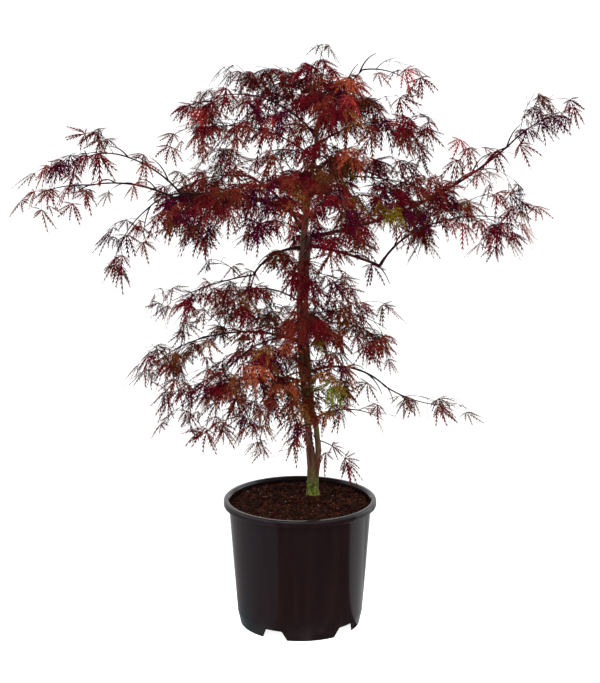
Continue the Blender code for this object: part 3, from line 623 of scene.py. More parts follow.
LIMBS = (
    # name, parent, where on it (a height on a stem, a share of a bough), azimuth, rise, droop, length,
    # root radius, tip radius
    ("left_bough", "trunk", 0.752, 181, 30, 42, 0.236, 0.0036, 0.0024),
    ("left_arching_limb", "left_bough", 1.0, 178, 27, 38, 0.150, 0.0020, 0.0012),
    ("left_rising_limb", "left_bough", 0.93, 186, 52, 34, 0.125, 0.0018, 0.0012),
    ("left_hanging_limb", "left_bough", 0.84, 201, 12, 56, 0.086, 0.0016, 0.0012),
    ("left_back_bough", "trunk", 0.728, 142, 52, 36, 0.145, 0.0030, 0.0019),
    ("left_front_bough", "trunk", 0.780, 210, 40, 36, 0.100, 0.0028, 0.0019),
    ("far_right_bough", "second_stem", 1.0, 2, 8, -34, 0.390, 0.0031, 0.0017),
    ("right_low_bough", "second_stem", 0.705, -8, -8, 14, 0.128, 0.0029, 0.0023),
    ("right_low_limb", "right_low_bough", 1.0, -4, 60, 34, 0.095, 0.0022, 0.0016),
    ("right_back_bough", "trunk", 0.790, 44, 34, 42, 0.140, 0.0028, 0.0019),
    ("back_bough", "trunk", 0.765, 96, 34, 42, 0.130, 0.0030, 0.0019),
    ("front_right_bough", "trunk", 0.795, 288, 32, 40, 0.090, 0.0026, 0.0018),
    ("top_left_bough", "trunk", 0.900, 176, 52, 30, 0.100, 0.0022, 0.0015),
    ("top_right_bough", "trunk", 0.926, 2, 54, 8, 0.112, 0.0019, 0.0012),
    ("falling_bough", "trunk", 0.700, 190, 2, 62, 0.100, 0.0027, 0.0017),
    ("lower_left_bough", "trunk", 0.525, 184, 22, 26, 0.112, 0.0026, 0.0017),
    ("lower_right_bough", "second_stem", 0.468, 0, 22, 68, 0.145, 0.0024, 0.0015),
    ("lower_right_twig", "second_stem", 0.378, -8, 34, 32, 0.060, 0.0018, 0.0013),
)
BOUGH_STEP = 0.004
BOUGH_SIDES = 12
BOUGH_SEAM = 0.00018
BOUGH_NODE_GAP = 0.027
BOUGH_NODE_SWELL = 0.16
COLLAR = 0.55
COLLAR_LENGTH = 0.007


def heading(azimuth, rise):
    """The way at an azimuth, which runs from the right round to the back, and a rise over level."""
    turn, lift = math.radians(azimuth), math.radians(rise)
    return Vector((math.cos(lift) * math.cos(turn), math.cos(lift) * math.sin(turn), math.sin(lift)))


def arc(start, azimuth, rise, droop, length, steps):
    """A path that leaves start at rise degrees and bends down by droop degrees along its length."""
    path = [start.copy()]
    for i in range(steps):
        path.append(path[-1] + heading(azimuth, rise - droop * (i + 0.5) / steps) * (length / steps))
    return path


def taper(root, tip, count):
    return [root + (tip - root) * i / (count - 1) for i in range(count)]


def root_point(parent, where, direction, radius):
    """Where a limb comes out of its parent, and the parent's centre there."""
    on_stem = where < 1.0 and parent.name in ("trunk", "second_stem")
    centre, along, thick = parent.at_height(where) if on_stem else parent.at(where)
    lean = direction.angle(along)
    if where >= 1.0:
        return centre + direction * (thick + radius) * math.sin(lean), centre
    return centre + direction * ((thick + radius * abs(math.cos(lean))) / math.sin(lean)), centre


def young_bark():
    material, tree, shader = new_material("young_maple_bark", 0.6, 0.05)
    streaks = grain(tree, 150.0, (1.0, 1.0, 0.35), detail=6.0)
    smooth = ramp(tree, streaks, (
        (0.32, (0.007, 0.0025, 0.0035)), (0.55, (0.024, 0.0085, 0.0095)), (0.75, (0.055, 0.0250, 0.0210)),
    ))
    pores = ramp(tree, grain(tree, 850.0, detail=2.0), ((0.66, 0.0), (0.72, 0.7)))
    colour = blend(tree, pores, smooth, (0.120, 0.075, 0.058))
    coat(tree, shader, colour, streaks, 0.5, 0.0004)
    return material


bough_finish = young_bark()
limbs = {"trunk": trunk, "second_stem": second_stem}
for name, parent, where, azimuth, rise, droop, length, root, tip in LIMBS:
    start, inside = root_point(limbs[parent], where, heading(azimuth, rise), root)
    steps = math.ceil(length / BOUGH_STEP)
    path = arc(start, azimuth, rise, droop, length, steps)
    radii = taper(root, tip, len(path))
    limbs[name] = Limb(name, path, radii)
    collar = [1 + COLLAR * math.exp(-i * length / steps / COLLAR_LENGTH) for i in range(len(path))]
    swollen = [radius * swelling for radius, swelling in zip(radii, collar)]
    bough_mesh = bark_mesh(
        name + "_bark", [inside] + path, [root] + swollen,
        BOUGH_SIDES, BOUGH_SEAM, BOUGH_NODE_GAP, BOUGH_NODE_SWELL,
    )
    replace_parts(new_piece(name + "_bark", bough_mesh, bough_finish, 60), name)

# ---------------------------------------------------------------- the leafy shoots
# Arching shoots of thin red wood stand on the boughs and the trunk. A shoot's leader carries side twigs, left
# and right in turn, and these carry finer ones. A leaf stands on its own thin stalk, in pairs along every
# twig and at its tip. Short spurs of leaves stand along the boughs and the trunk.

SHOOTS = (
    # name, parent, where on it, azimuth, rise, droop, length, side twigs, leafiness, tints
    ("crown_tip", "trunk", 1.0, 70, 84, 60, 0.052, 2, 0.32, "dusk"),
    ("top_left_mass", "top_left_bough", 1.0, 182, 22, 46, 0.122, 4, 0.80, "dark"),
    ("top_right_mass", "top_right_bough", 1.0, 2, 8, 38, 0.072, 2, 0.45, "red"),
    ("top_front_mass", "trunk", 0.945, 282, 52, 80, 0.150, 4, 0.90, "fire"),
    ("top_back_mass", "trunk", 0.955, 124, 36, 56, 0.170, 5, 1.00, "dark"),
    ("upper_left_mass", "trunk", 0.862, 186, 42, 60, 0.232, 6, 0.66, "dark"),
    ("upper_right_mass", "trunk", 0.884, 350, 38, 54, 0.190, 5, 1.00, "red"),
    ("upper_back_mass", "trunk", 0.905, 70, 42, 54, 0.190, 4, 1.00, "dark"),
    ("far_left_tip", "left_arching_limb", 1.0, 180, 4, 28, 0.095, 2, 0.55, "tipped"),
    ("far_left_cluster", "left_rising_limb", 1.0, 184, 18, 48, 0.082, 3, 0.60, "dusk"),
    ("far_left_hanging_mass", "left_hanging_limb", 1.0, 198, -36, 30, 0.080, 2, 0.50, "dusk"),
    ("left_back_mass", "left_back_bough", 1.0, 156, 5, 38, 0.158, 5, 0.82, "dark"),
    ("left_front_mass", "left_front_bough", 1.0, 200, 6, 42, 0.148, 6, 1.00, "brown"),
    ("front_left_mass", "trunk", 0.818, 228, 22, 52, 0.200, 5, 0.90, "red"),
    ("front_mass", "trunk", 0.856, 282, 26, 74, 0.240, 5, 0.90, "fire"),
    ("front_right_mass", "front_right_bough", 1.0, 292, 8, 36, 0.150, 4, 0.95, "olive"),
    ("right_mass", "trunk", 0.820, 352, 14, 40, 0.235, 6, 1.00, "olive"),
    ("far_right_tip", "far_right_bough", 1.0, 2, 46, 26, 0.105, 3, 0.62, "dusk"),
    ("far_right_mass", "far_right_bough", 0.68, 326, 46, 54, 0.100, 4, 0.50, "brown"),
    ("right_low_mass", "right_low_limb", 1.0, 354, 26, 38, 0.166, 5, 0.82, "tipped"),
    ("right_under_mass", "right_low_bough", 0.45, 322, 16, 44, 0.055, 1, 0.25, "green"),
    ("right_back_mass", "right_back_bough", 1.0, 36, -18, 36, 0.170, 4, 0.90, "olive"),
    ("back_mass", "back_bough", 1.0, 90, -16, 32, 0.160, 4, 0.85, "dark"),
    ("falling_mass", "falling_bough", 1.0, 186, -8, 18, 0.150, 5, 0.42, "brown"),
    ("lower_left_mass", "lower_left_bough", 1.0, 184, -2, 38, 0.165, 6, 0.80, "brown"),
    ("lower_left_low_mass", "trunk", 0.452, 190, 14, 48, 0.228, 6, 0.84, "brown"),
    ("lower_front_left_mass", "trunk", 0.530, 220, 18, 64, 0.190, 5, 0.90, "fire"),
    ("lower_front_mass", "trunk", 0.664, 280, 14, 70, 0.150, 4, 1.00, "fire"),
    ("lower_front_low_mass", "trunk", 0.468, 228, 8, 64, 0.140, 4, 0.92, "brown"),
    ("lower_front_foot_mass", "trunk", 0.443, 268, 12, 58, 0.120, 3, 0.85, "fire"),
    ("lower_front_right_mass", "second_stem", 0.555, 300, 14, 64, 0.134, 4, 0.95, "green"),
    ("lower_right_high_mass", "second_stem", 0.575, 350, 18, 52, 0.146, 4, 0.42, "dark"),
    ("lower_right_tip", "lower_right_bough", 1.0, 2, -34, -34, 0.130, 2, 0.40, "brown"),
    ("lower_right_low_mass", "lower_right_twig", 1.0, 354, 2, 36, 0.070, 2, 0.20, "dark"),
    ("lower_back_right_mass", "trunk", 0.538, 42, 18, 58, 0.190, 4, 0.36, "dark"),
    ("lower_back_mass", "trunk", 0.540, 88, 20, 60, 0.200, 5, 1.00, "brown"),
    ("lower_back_left_mass", "trunk", 0.600, 138, 20, 62, 0.200, 5, 0.85, "brown"),
    ("foot_twig", "second_stem", 0.338, 336, -6, 40, 0.046, 0, 1.00, "dark"),
)
UPPER_TIER = 0.655  # shoots that start higher than this are the crown's upper tier
LEADER_RADIUS = 0.0013
LEADER_TAPER = 0.0030
LEADER_TIP_RADIUS = 0.0007
LEADER_STEP = 0.012
LEADER_BARE = 0.25  # share of a leader, a twig or a fine twig before its first leaves
TWIG_BARE = 0.30
FINE_TWIG_BARE = 0.60
TWIG_ROOT_SHARE = 0.62
TWIG_TIP_RADIUS = 0.00045
TWIG_SPREAD = 58.0
TWIG_CLOSING = 0.35
TWIG_LIFTS = (44.0, 26.0, 2.0, -16.0)
TWIG_DROOP = 40.0
TWIG_SHORTEST = 0.038
TWIG_REACH = 0.42
TWIG_WANDER = 6.0
TWIG_STEP = 0.012
FINE_TWIG_PLACES = (0.40, 0.66)
FINE_TWIG_SHARE = 0.50
FINE_TWIG_ROOT_SHARE = 0.8
FINE_TWIG_SPLAY = (34, 56)
FINE_TWIG_LIFT = (-20, 26)
LOW_SPURS = ((0.440, 236), (0.468, 300), (0.492, 250), (0.520, 288), (0.545, 226))  # height, azimuth
CROWN_FOOT = 0.705
TRUNK_SPUR_GAP = 0.017
TRUNK_SPUR_TURN = 137.5
SPUR_GAP = 0.036
SPUR_SPREAD = 54.0
SPUR_LIFT = 14.0
BOUGH_SPUR = (44, 0.055, 0, 0.36, "dark")  # droop, length, side twigs, leafiness, tints
CROWN_SPUR = (34, 52, 0.080, 0, 0.85, "fire")  # rise, and then the same
LOW_SPUR = (24, 56, 0.062, 0, 0.70, "brown")
PAIR_SPLAY = (34, 84)
PAIR_LIFT = 10
END_SPLAY = 26
END_LIFT = 12
END_PITCH_SHARE = 0.4  # how far the leaves at a tip follow the tip's own fall
STALK_RADIUS = 0.00038
STALK_FOOT_SWELL = 1.3
STALK_LENGTHS = (0.010, 0.024)
STALK_TURN = 16
STALK_LIFT = 20
STALK_BEND = 40
LEAF_GAP = 0.030
LEAF_LENGTH = 0.047
LEAF_SIZES = (0.78, 1.12)
LEAF_TURN = 24
LEAF_PITCH = -36.0
LEAF_PITCH_WANDER = 28.0
LEAF_ROLL = 46.0
SPACE_REACH = 0.070
SPACE_NARROWEST = 0.065
SPACE_WIDENING = 0.32
SPACE_WIDEST = 0.120
SPACE_HALF_HEIGHT = 0.092
SPACE_SINK = 0.018


class Space:
    """The ellipsoid round its leader that a shoot keeps to."""

    def __init__(self, leader):
        span = leader[-1] - leader[0]
        self.along = span.normalized()
        self.across = Vector((0, 0, 1)).cross(self.along).normalized()
        self.up = self.along.cross(self.across)
        self.centre = (leader[0] + leader[-1]) / 2 - Vector((0, 0, SPACE_SINK))
        half_width = min(SPACE_WIDEST, SPACE_NARROWEST + SPACE_WIDENING * span.length)
        self.halves = (span.length / 2 + SPACE_REACH, half_width, SPACE_HALF_HEIGHT)

    def holds(self, point):
        low, high = cad_box
        if not all(low[i] < point[i] < high[i] for i in range(3)):
            return False
        off = point - self.centre
        parts = (off.dot(self.along), off.dot(self.across), off.dot(self.up))
        return sum((part / half) ** 2 for part, half in zip(parts, self.halves)) < 1.0


class Tubes:
    """Thin tubes gathered into one mesh."""

    def __init__(self):
        self.points, self.faces = [], []

    def add(self, path, radii, sides):
        self.faces += tube_faces(len(self.points), len(path), sides)
        for radius, (centre, directions) in zip(radii, hoops(path, sides)):
            self.points += [centre + out * radius for out in directions]


TINT_HOLD = 0.42  # share of a spray's leaves that keep its tint
UPPER_TINTS = ("burgundy", "burgundy", "maroon", "plum", "burgundy", "umber", "maroon", "crimson")
LOWER_TINTS = ("burgundy", "umber", "maroon", "burgundy", "umber", "rust", "plum", "maroon")
TINTS = {
    "dusk": ("plum", "burgundy", "plum", "burgundy", "umber"),
    "dark": ("burgundy", "plum", "burgundy", "maroon", "burgundy", "umber", "crimson"),
    "red": ("burgundy", "crimson", "maroon", "burgundy", "scarlet", "plum"),
    "fire": ("burgundy", "rust", "maroon", "scarlet", "olive", "umber", "burgundy"),
    "brown": ("burgundy", "umber", "maroon", "rust", "plum", "maroon"),
    "olive": ("burgundy", "olive", "maroon", "umber", "olive", "burgundy"),
    "green": ("olive", "moss_green", "maroon", "umber"),
    "tipped": ("burgundy", "burgundy", "crimson", "rust", "burgundy", "olive"),
}


class Shoot:
    """One leafy shoot, grown by its own seeded draws."""

    def __init__(self, row):
        self.name, parent, where, *course, self.twigs, self.leafiness, tints = row
        self.azimuth, self.rise, self.droop, self.length = course
        self.tints = TINTS[tints]
        self.random = random.Random(self.name)
        self.root = LEADER_RADIUS + LEADER_TAPER * self.length
        start, self.inside = root_point(limbs[parent], where, heading(self.azimuth, self.rise), self.root)
        steps = max(4, round(self.length / LEADER_STEP))
        self.leader = arc(start, self.azimuth, self.rise, self.droop, self.length, steps)
        self.space = Space(self.leader)
        self.upper = start.z > UPPER_TIER
        self.tubes = upper_twigs if self.upper else lower_twigs
        self.plain = self.tints if tints == "dusk" else UPPER_TINTS if self.upper else LOWER_TINTS
        self.node = parent if self.name.startswith(parent) else self.name  # a spur is part of its bough
        self.tint = self.random.choice(self.plain)
        self.leaves = []

    def stray(self, most):
        return self.random.uniform(-most, most)

    def add_leaf(self, place, azimuth, lift, pitch):
        """A leaf on a stalk that bends over: its hub, the way it points, its length and its tint."""
        azimuth += self.stray(STALK_TURN)
        reach = self.random.uniform(*STALK_LENGTHS)
        stalk = arc(place, azimuth, lift + self.stray(STALK_LIFT), STALK_BEND, reach, 3)
        azimuth += self.stray(LEAF_TURN)
        pitch += self.stray(LEAF_PITCH_WANDER)
        roll = self.stray(LEAF_ROLL)
        length = LEAF_LENGTH * self.random.uniform(*LEAF_SIZES)
        tip = stalk[-1] + heading(azimuth, pitch) * length
        if self.random.random() < self.leafiness and self.space.holds(tip):
            stalks.add(stalk, [STALK_RADIUS * STALK_FOOT_SWELL] + [STALK_RADIUS] * 3, 3)
            tint = self.tint if self.random.random() < TINT_HOLD else self.random.choice(self.plain)
            self.leaves.append((stalk[-1], azimuth, pitch, roll, length, tint))

    def add_pairs(self, path, azimuth, rise, droop, first):
        """Leaves in pairs along a twig, from the share first on, and two at its tip."""
        twig = Limb("twig", path, [0.0] * len(path))
        length = sum((b - a).length for a, b in zip(path, path[1:]))
        count = max(1, round(length * (1 - first) / LEAF_GAP))
        for i in range(count):
            share = first + (1 - first) * i / count
            place = twig.at(share)[0]
            lift = rise - droop * share + PAIR_LIFT
            for side in (-1, 1):
                splay = side * self.random.uniform(*PAIR_SPLAY)
                self.add_leaf(place, azimuth + splay, lift, LEAF_PITCH)
        end = rise - droop
        pitch = end * END_PITCH_SHARE + LEAF_PITCH * (1 - END_PITCH_SHARE)
        for splay in (-END_SPLAY, END_SPLAY):
            self.add_leaf(path[-1], azimuth + splay, end + END_LIFT, pitch)

    def add_twig(self, place, radius, azimuth, rise, length, branched):
        steps = max(3, round(length / TWIG_STEP))
        path = arc(place, azimuth, rise, TWIG_DROOP, length, steps)
        while len(path) > 3 and not self.space.holds(path[-1]):
            path.pop()
        self.tubes.add(path, taper(radius, min(radius, TWIG_TIP_RADIUS), len(path)), 4)
        self.add_pairs(path, azimuth, rise, TWIG_DROOP, TWIG_BARE if branched else FINE_TWIG_BARE)
        if branched:
            twig = Limb("twig", path, taper(radius, TWIG_TIP_RADIUS, len(path)))
            for i, share in enumerate(FINE_TWIG_PLACES):
                centre, _, thick = twig.at(share)
                turn = azimuth + (-1 if i % 2 else 1) * self.random.uniform(*FINE_TWIG_SPLAY)
                lift = rise - TWIG_DROOP * share + self.random.uniform(*FINE_TWIG_LIFT)
                root = thick * FINE_TWIG_ROOT_SHARE
                self.add_twig(centre, root, turn, lift, length * FINE_TWIG_SHARE, False)

    def grow(self):
        radii = taper(self.root, LEADER_TIP_RADIUS, len(self.leader))
        self.tubes.add([self.inside] + self.leader, [self.root] + radii, 6)
        leader = Limb(self.name, self.leader, radii)
        self.add_pairs(self.leader, self.azimuth, self.rise, self.droop, LEADER_BARE)
        for i in range(self.twigs):
            share = (i + 0.8) / (self.twigs + 0.6)
            centre, _, thick = leader.at(share)
            rise = self.rise - self.droop * share + TWIG_LIFTS[i % len(TWIG_LIFTS)]
            length = TWIG_SHORTEST + TWIG_REACH * self.length * (1 - 0.5 * share)
            spread = TWIG_SPREAD * (1 - TWIG_CLOSING * share) + self.stray(TWIG_WANDER)
            turn = self.azimuth + (spread if i % 2 else -spread)
            reach = length * self.random.uniform(0.85, 1.15)
            self.tint = self.random.choice(self.tints)
            self.add_twig(centre, thick * TWIG_ROOT_SHARE, turn, rise, reach, True)


def spurs():
    """Rows for the short leafy spurs along each bough, left and right in turn, and on the trunk."""
    rows = []
    for name, _, _, azimuth, rise, droop, length, _, _ in LIMBS:
        count = int(length / SPUR_GAP)
        for i in range(count):
            share = (i + 0.8) / count
            turn = azimuth + (SPUR_SPREAD if i % 2 else -SPUR_SPREAD)
            lift = rise - droop * share + SPUR_LIFT
            rows.append((f"{name}_spur_{i + 1}", name, share, turn, lift, *BOUGH_SPUR))
    for i in range(int((TRUNK_TOP.z - CROWN_FOOT) / TRUNK_SPUR_GAP)):
        height, azimuth = CROWN_FOOT + TRUNK_SPUR_GAP * i, TRUNK_SPUR_TURN * i % 360
        rows.append((f"trunk_spur_{i + 1}", "trunk", height, azimuth, *CROWN_SPUR))
    for i, (height, azimuth) in enumerate(LOW_SPURS):
        rows.append((f"trunk_low_spur_{i + 1}", "trunk", height, azimuth, *LOW_SPUR))
    return tuple(rows)


upper_twigs, lower_twigs, stalks = Tubes(), Tubes(), Tubes()
shoots = [Shoot(row) for row in SHOOTS + spurs()]
for shoot in shoots:
    shoot.grow()
upper_mesh, lower_mesh, stalk_mesh = (
    new_mesh(name, tubes.points, tubes.faces)
    for name, tubes in (("upper_twigs", upper_twigs), ("lower_twigs", lower_twigs), ("leaf_stalks", stalks))
)

twig_finish = speckled("red_twig_bark", (0.0180, 0.0034, 0.0065), 0.6, 300.0, 0.0002, specular=0.03)
upper_names = [shoot.node for shoot in shoots if shoot.upper]
lower_names = [shoot.node for shoot in shoots if not shoot.upper]
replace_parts(new_piece("upper_twigs", upper_mesh, twig_finish, 60), *upper_names)
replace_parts(new_piece("lower_twigs", lower_mesh, twig_finish, 60), *lower_names)
stalk_finish = speckled("leaf_stalk", (0.050, 0.0070, 0.0100), 0.5, 300.0, 0.0001, specular=0.08)
new_piece("leaf_stalks", stalk_mesh, stalk_finish)

# ---------------------------------------------------------------- the leaves
# Thin soft leaves, each cut to its hub into seven long drooping lobes, and each lobe cut again into narrow
# forward-pointing teeth. The tints of early autumn differ from spray to spray.

LOBE_ANGLES = (-88.0, -58.0, -29.0, 0.0, 29.0, 58.0, 88.0)
LOBE_LENGTHS = (0.50, 0.78, 0.95, 1.0, 0.95, 0.78, 0.50)
LOBE_SIZES = (0.74, 1.12)
LOBE_WANDER = 8.0
LOBE_SAG = 0.30
SAG_RANGE = (0.4, 1.6)
LOBE_CURL = 0.34
TEETH = 5  # on each side of a lobe
FIRST_TOOTH = 0.20  # share of the lobe's length
LAST_TOOTH = 0.86
TOOTH_FOOT = 0.56  # share of the way between teeth that a tooth's foot takes
TOOTH_LENGTH = 0.200
TOOTH_SIZES = (0.8, 1.2)
TOOTH_TURN = 36.0
TOOTH_DROP = 0.12
BELLY_PLACE = 0.62  # a tooth is full this far along it
RIB_WIDTH = 0.038
RIB_END = 0.0007
FOOT_FULLNESS = 0.35
WIDEST = 0.34
THREAD_FROM = 0.90
MOST_LEAVES_IN_PIECE = 380
LEAF_COLOURS = {
    "burgundy": (0.078, 0.0036, 0.0072),
    "plum": (0.038, 0.0022, 0.0125),
    "maroon": (0.106, 0.0150, 0.0095),
    "umber": (0.062, 0.0160, 0.0065),
    "crimson": (0.200, 0.0190, 0.0170),
    "scarlet": (0.240, 0.0450, 0.0190),
    "rust": (0.175, 0.0560, 0.0140),
    "olive": (0.100, 0.0700, 0.0060),
    "moss_green": (0.105, 0.1050, 0.0120),
}


def fullness(share):
    """How wide a lobe is at a share of its length: full at WIDEST, and a thread from THREAD_FROM on."""
    if share < WIDEST:
        return FOOT_FULLNESS + (1 - FOOT_FULLNESS) * math.sin(math.pi / 2 * share / WIDEST)
    return max(0.0, 1 - ((share - WIDEST) / (THREAD_FROM - WIDEST)) ** 1.3)


def lobe_stations():
    """Shares of a lobe's length at the foot and the end of each tooth."""
    gap = (LAST_TOOTH - FIRST_TOOTH) / TEETH
    return [(FIRST_TOOTH + gap * i, FIRST_TOOTH + gap * (i + TOOTH_FOOT)) for i in range(TEETH)]


def lobe_faces():
    """The faces of one lobe: its rib as a strip, and a pointed tooth on each side at every station."""
    faces = []
    left, right = 0, 1
    for i in range(TEETH):
        start_left, start_right, end_left, end_right, belly_left, belly_right, tip_left, tip_right = (
            range(2 + 8 * i, 10 + 8 * i)
        )
        faces += [(left, right, start_right), (left, start_right, start_left)]
        faces += [(start_left, start_right, end_right), (start_left, end_right, end_left)]
        faces += [(start_left, end_left, tip_left), (start_left, tip_left, belly_left)]
        faces += [(start_right, tip_right, end_right), (start_right, belly_right, tip_right)]
        left, right = end_left, end_right
    faces.append((left, right, 2 + 8 * TEETH))
    return np.array(faces)


def leaf_points(leaves, dice):
    """The points of every lobe of these leaves, as an array of lobes by points by three."""
    lobes = len(LOBE_ANGLES)
    hub = np.repeat([leaf[0] for leaf in leaves], lobes, axis=0)
    turn, pitch, roll = (np.radians(np.repeat([leaf[i] for leaf in leaves], lobes)) for i in (1, 2, 3))
    length = np.repeat([leaf[4] for leaf in leaves], lobes)
    length = length * np.tile(LOBE_LENGTHS, len(leaves)) * dice.uniform(*LOBE_SIZES, len(hub))
    angle = np.radians(np.tile(LOBE_ANGLES, len(leaves)) + dice.uniform(-LOBE_WANDER, LOBE_WANDER, len(hub)))
    ahead = np.stack([np.cos(pitch) * np.cos(turn), np.cos(pitch) * np.sin(turn), np.sin(pitch)], axis=1)
    level = np.stack([np.sin(turn), -np.cos(turn), np.zeros(len(hub))], axis=1)
    side = level * np.cos(roll)[:, None] + np.cross(level, ahead) * np.sin(roll)[:, None]
    normal = np.cross(side, ahead)
    out = ahead * np.cos(angle)[:, None] + side * np.sin(angle)[:, None]
    wide = side * np.cos(angle)[:, None] - ahead * np.sin(angle)[:, None]
    sag = LOBE_SAG * dice.uniform(*SAG_RANGE, len(hub))
    curl = dice.uniform(-LOBE_CURL, LOBE_CURL, len(hub))

    def rib(share):
        bent = hub + out * (length * share)[:, None]
        bent[:, 2] -= sag * length * share ** 2
        bent += wide * (curl * length * share ** 2)[:, None]
        return bent

    def edge(share, hand):
        half = RIB_WIDTH / 2 * length * fullness(share) + RIB_END / 2
        return rib(share) + wide * (hand * half)[:, None]

    points = [edge(0.0, -1), edge(0.0, 1)]
    lean = math.radians(TOOTH_TURN)
    for start, end in lobe_stations():
        points += [edge(start, -1), edge(start, 1), edge(end, -1), edge(end, 1)]
        along = rib(end + 0.02) - rib(end)
        along /= np.linalg.norm(along, axis=1)[:, None]
        reach = (length * TOOTH_LENGTH * fullness(start) * dice.uniform(*TOOTH_SIZES, len(hub)))[:, None]
        forward, fall = along * math.cos(lean), normal * TOOTH_DROP
        ways = [(hand, forward + wide * (hand * math.sin(lean)) - fall) for hand in (-1, 1)]
        points += [edge((start + end) / 2, hand) + way * reach * BELLY_PLACE for hand, way in ways]
        points += [edge(end, hand) + way * reach for hand, way in ways]
    points.append(rib(1.0))
    return np.stack(points, axis=1)


def leaves_mesh(name, leaves, seed):
    points = leaf_points(leaves, np.random.default_rng(seed))
    lobes, count, _ = points.shape
    faces = (lobe_faces()[None] + (np.arange(lobes) * count)[:, None, None]).reshape(-1, 3)
    mesh = bpy.data.meshes.new(name)
    mesh.vertices.add(lobes * count)
    mesh.vertices.foreach_set("co", points.astype(np.float32).ravel())
    mesh.loops.add(faces.size)
    mesh.loops.foreach_set("vertex_index", faces.astype(np.int32).ravel())
    mesh.polygons.add(len(faces))
    mesh.polygons.foreach_set("loop_start", np.arange(0, faces.size, 3, dtype=np.int32))
    mesh.update(calc_edges=True)
    mesh.validate()
    return mesh


for number, (tint, colour) in enumerate(LEAF_COLOURS.items()):
    # The leaves' strong light and dark grain is partly their own mottling and partly painted shade and
    # highlight, standing in for the shading of their lobes.
    leaf_finish = speckled("leaf_" + tint, colour, 0.62, 260.0, 0.0001, spread=0.75, specular=0.0)
    tinted = [(leaf, shoot.node) for shoot in shoots for leaf in shoot.leaves if leaf[-1] == tint]
    pieces = math.ceil(len(tinted) / MOST_LEAVES_IN_PIECE)
    for i in range(pieces):
        part = tinted[i::pieces]
        name = f"leaves_{tint}_{i + 1}"
        spray = leaves_mesh(name, [leaf for leaf, _ in part], number * 100 + i)
        piece = new_piece(name, spray, leaf_finish)
        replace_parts(piece, *sorted({owner for _, owner in part}))

# ---------------------------------------------------------------- floor and light
# A pale floor that glows a little round the pot, an even white surround, a softbox at each side and one
# high in front. Grey cards lie on the floor, seen only as reflections: they give the pot's satin wall its
# bands, dark in front and lighter at the sides.

FLOOR_REACH = 30.0
GLOW_FROM, GLOW_TO = 0.12, 0.32  # distances from the pot's middle
GLOW_BRIGHT, GLOW_FAINT = 0.90, 0.06
SURROUND = 1.22
CARDS = (
    # name, (distance, first azimuth, last azimuth) of its inner, middle and outer edge, colour
    ("front_card", ((0.09, -26.0, 72.0), (0.45, -33.0, 82.0), (3.0, -37.0, 88.0)), (0.022, 0.022, 0.022)),
    ("left_card", ((0.09, -98.0, -26.0), (0.45, -98.0, -33.0), (3.0, -98.0, -37.0)), (0.232, 0.341, 0.360)),
    ("right_card", ((0.09, 72.0, 128.0), (0.45, 82.0, 128.0), (3.0, 88.0, 128.0)), (0.610, 0.650, 0.650)),
    ("rear_card", ((0.09, 128.0, 262.0), (0.45, 128.0, 262.0), (3.0, 128.0, 262.0)), (0.300, 0.300, 0.300)),
)
CARD_STEPS = 24
CARD_HEIGHT = 0.0005
LIGHT_TARGET = Vector((0, 0, 0.55))
LIGHTS = (
    # name, azimuth from the front, distance, height, width, height of the box, power
    ("left_box", -72.0, 2.2, 0.9, 2.4, 2.4, 16.0),
    ("right_box", 108.0, 2.2, 0.9, 1.7, 2.4, 22.0),
    ("top_box", -20.0, 2.6, 2.8, 1.6, 1.2, 22.0),
)


def off_plant(azimuth, distance, height):
    """A point off the plant's middle, at an azimuth that runs from the front round to the right."""
    turn = math.radians(azimuth)
    return Vector((math.sin(turn) * distance, -math.cos(turn) * distance, height))


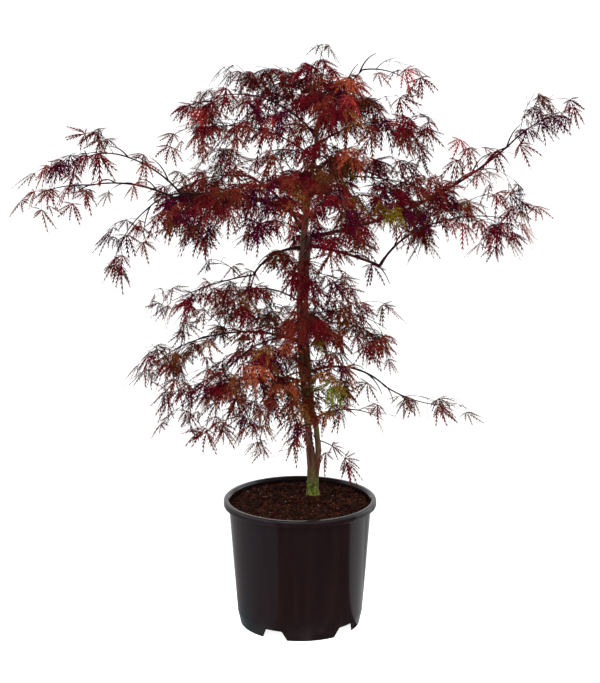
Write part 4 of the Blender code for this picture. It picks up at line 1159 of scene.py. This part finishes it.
corners = [(a * FLOOR_REACH, b * FLOOR_REACH, 0.0) for a, b in ((-1, -1), (1, -1), (1, 1), (-1, 1))]
floor_mesh = new_mesh("floor", corners, [(0, 1, 2, 3)])
floor_material, floor_tree, floor_shader = new_material("pale_floor", 0.9, 0.1)
floor_shader.inputs["Base Color"].default_value = (0.97, 0.97, 0.97, 1.0)
floor_shader.inputs["Emission Color"].default_value = (1.0, 1.0, 1.0, 1.0)
off_middle = add_node(floor_tree, "VectorMath", Vector=add_node(floor_tree, "TexCoord").outputs["Object"])
off_middle.operation = "LENGTH"
glow = add_node(
    floor_tree, "MapRange", Value=off_middle.outputs["Value"],
    From_Min=GLOW_FROM, From_Max=GLOW_TO, To_Min=GLOW_BRIGHT, To_Max=GLOW_FAINT,
)
floor_tree.links.new(glow.outputs["Result"], floor_shader.inputs["Emission Strength"])
floor_mesh.materials.append(floor_material)
floor = bpy.data.objects.new("floor", floor_mesh)
scene.collection.objects.link(floor)

for name, edges, colour in CARDS:
    points = []
    for distance, first_azimuth, last_azimuth in edges:
        for i in range(CARD_STEPS + 1):
            azimuth = first_azimuth + (last_azimuth - first_azimuth) * i / CARD_STEPS
            points.append(off_plant(azimuth, distance, CARD_HEIGHT))
    faces = []
    for first in (0, CARD_STEPS + 1):
        for i in range(first, first + CARD_STEPS):
            faces.append((i, i + CARD_STEPS + 1, i + CARD_STEPS + 2, i + 1))
    card_mesh = new_mesh(name, points, faces)
    card_material, _, card_shader = new_material(name, 0.9, 0.0)
    card_shader.inputs["Base Color"].default_value = (*colour, 1.0)
    card_mesh.materials.append(card_material)
    card = bpy.data.objects.new(name, card_mesh)
    card.visible_camera = card.visible_diffuse = card.visible_shadow = False
    scene.collection.objects.link(card)

world = bpy.data.worlds.new("surround")
world.use_nodes = True
background = world.node_tree.nodes["Background"]
background.inputs["Color"].default_value = (1.0, 1.0, 1.0, 1.0)
background.inputs["Strength"].default_value = SURROUND
scene.world = world

for name, azimuth, distance, height, width, tall, power in LIGHTS:
    lamp = bpy.data.lights.new(name, "AREA")
    lamp.shape = "RECTANGLE"
    lamp.size, lamp.size_y = width, tall
    lamp.energy = power
    light = bpy.data.objects.new(name, lamp)
    light.location = off_plant(azimuth, distance, height)
    light.rotation_euler = (LIGHT_TARGET - light.location).to_track_quat("-Z", "Y").to_euler()
    light.visible_camera = False
    scene.collection.objects.link(light)
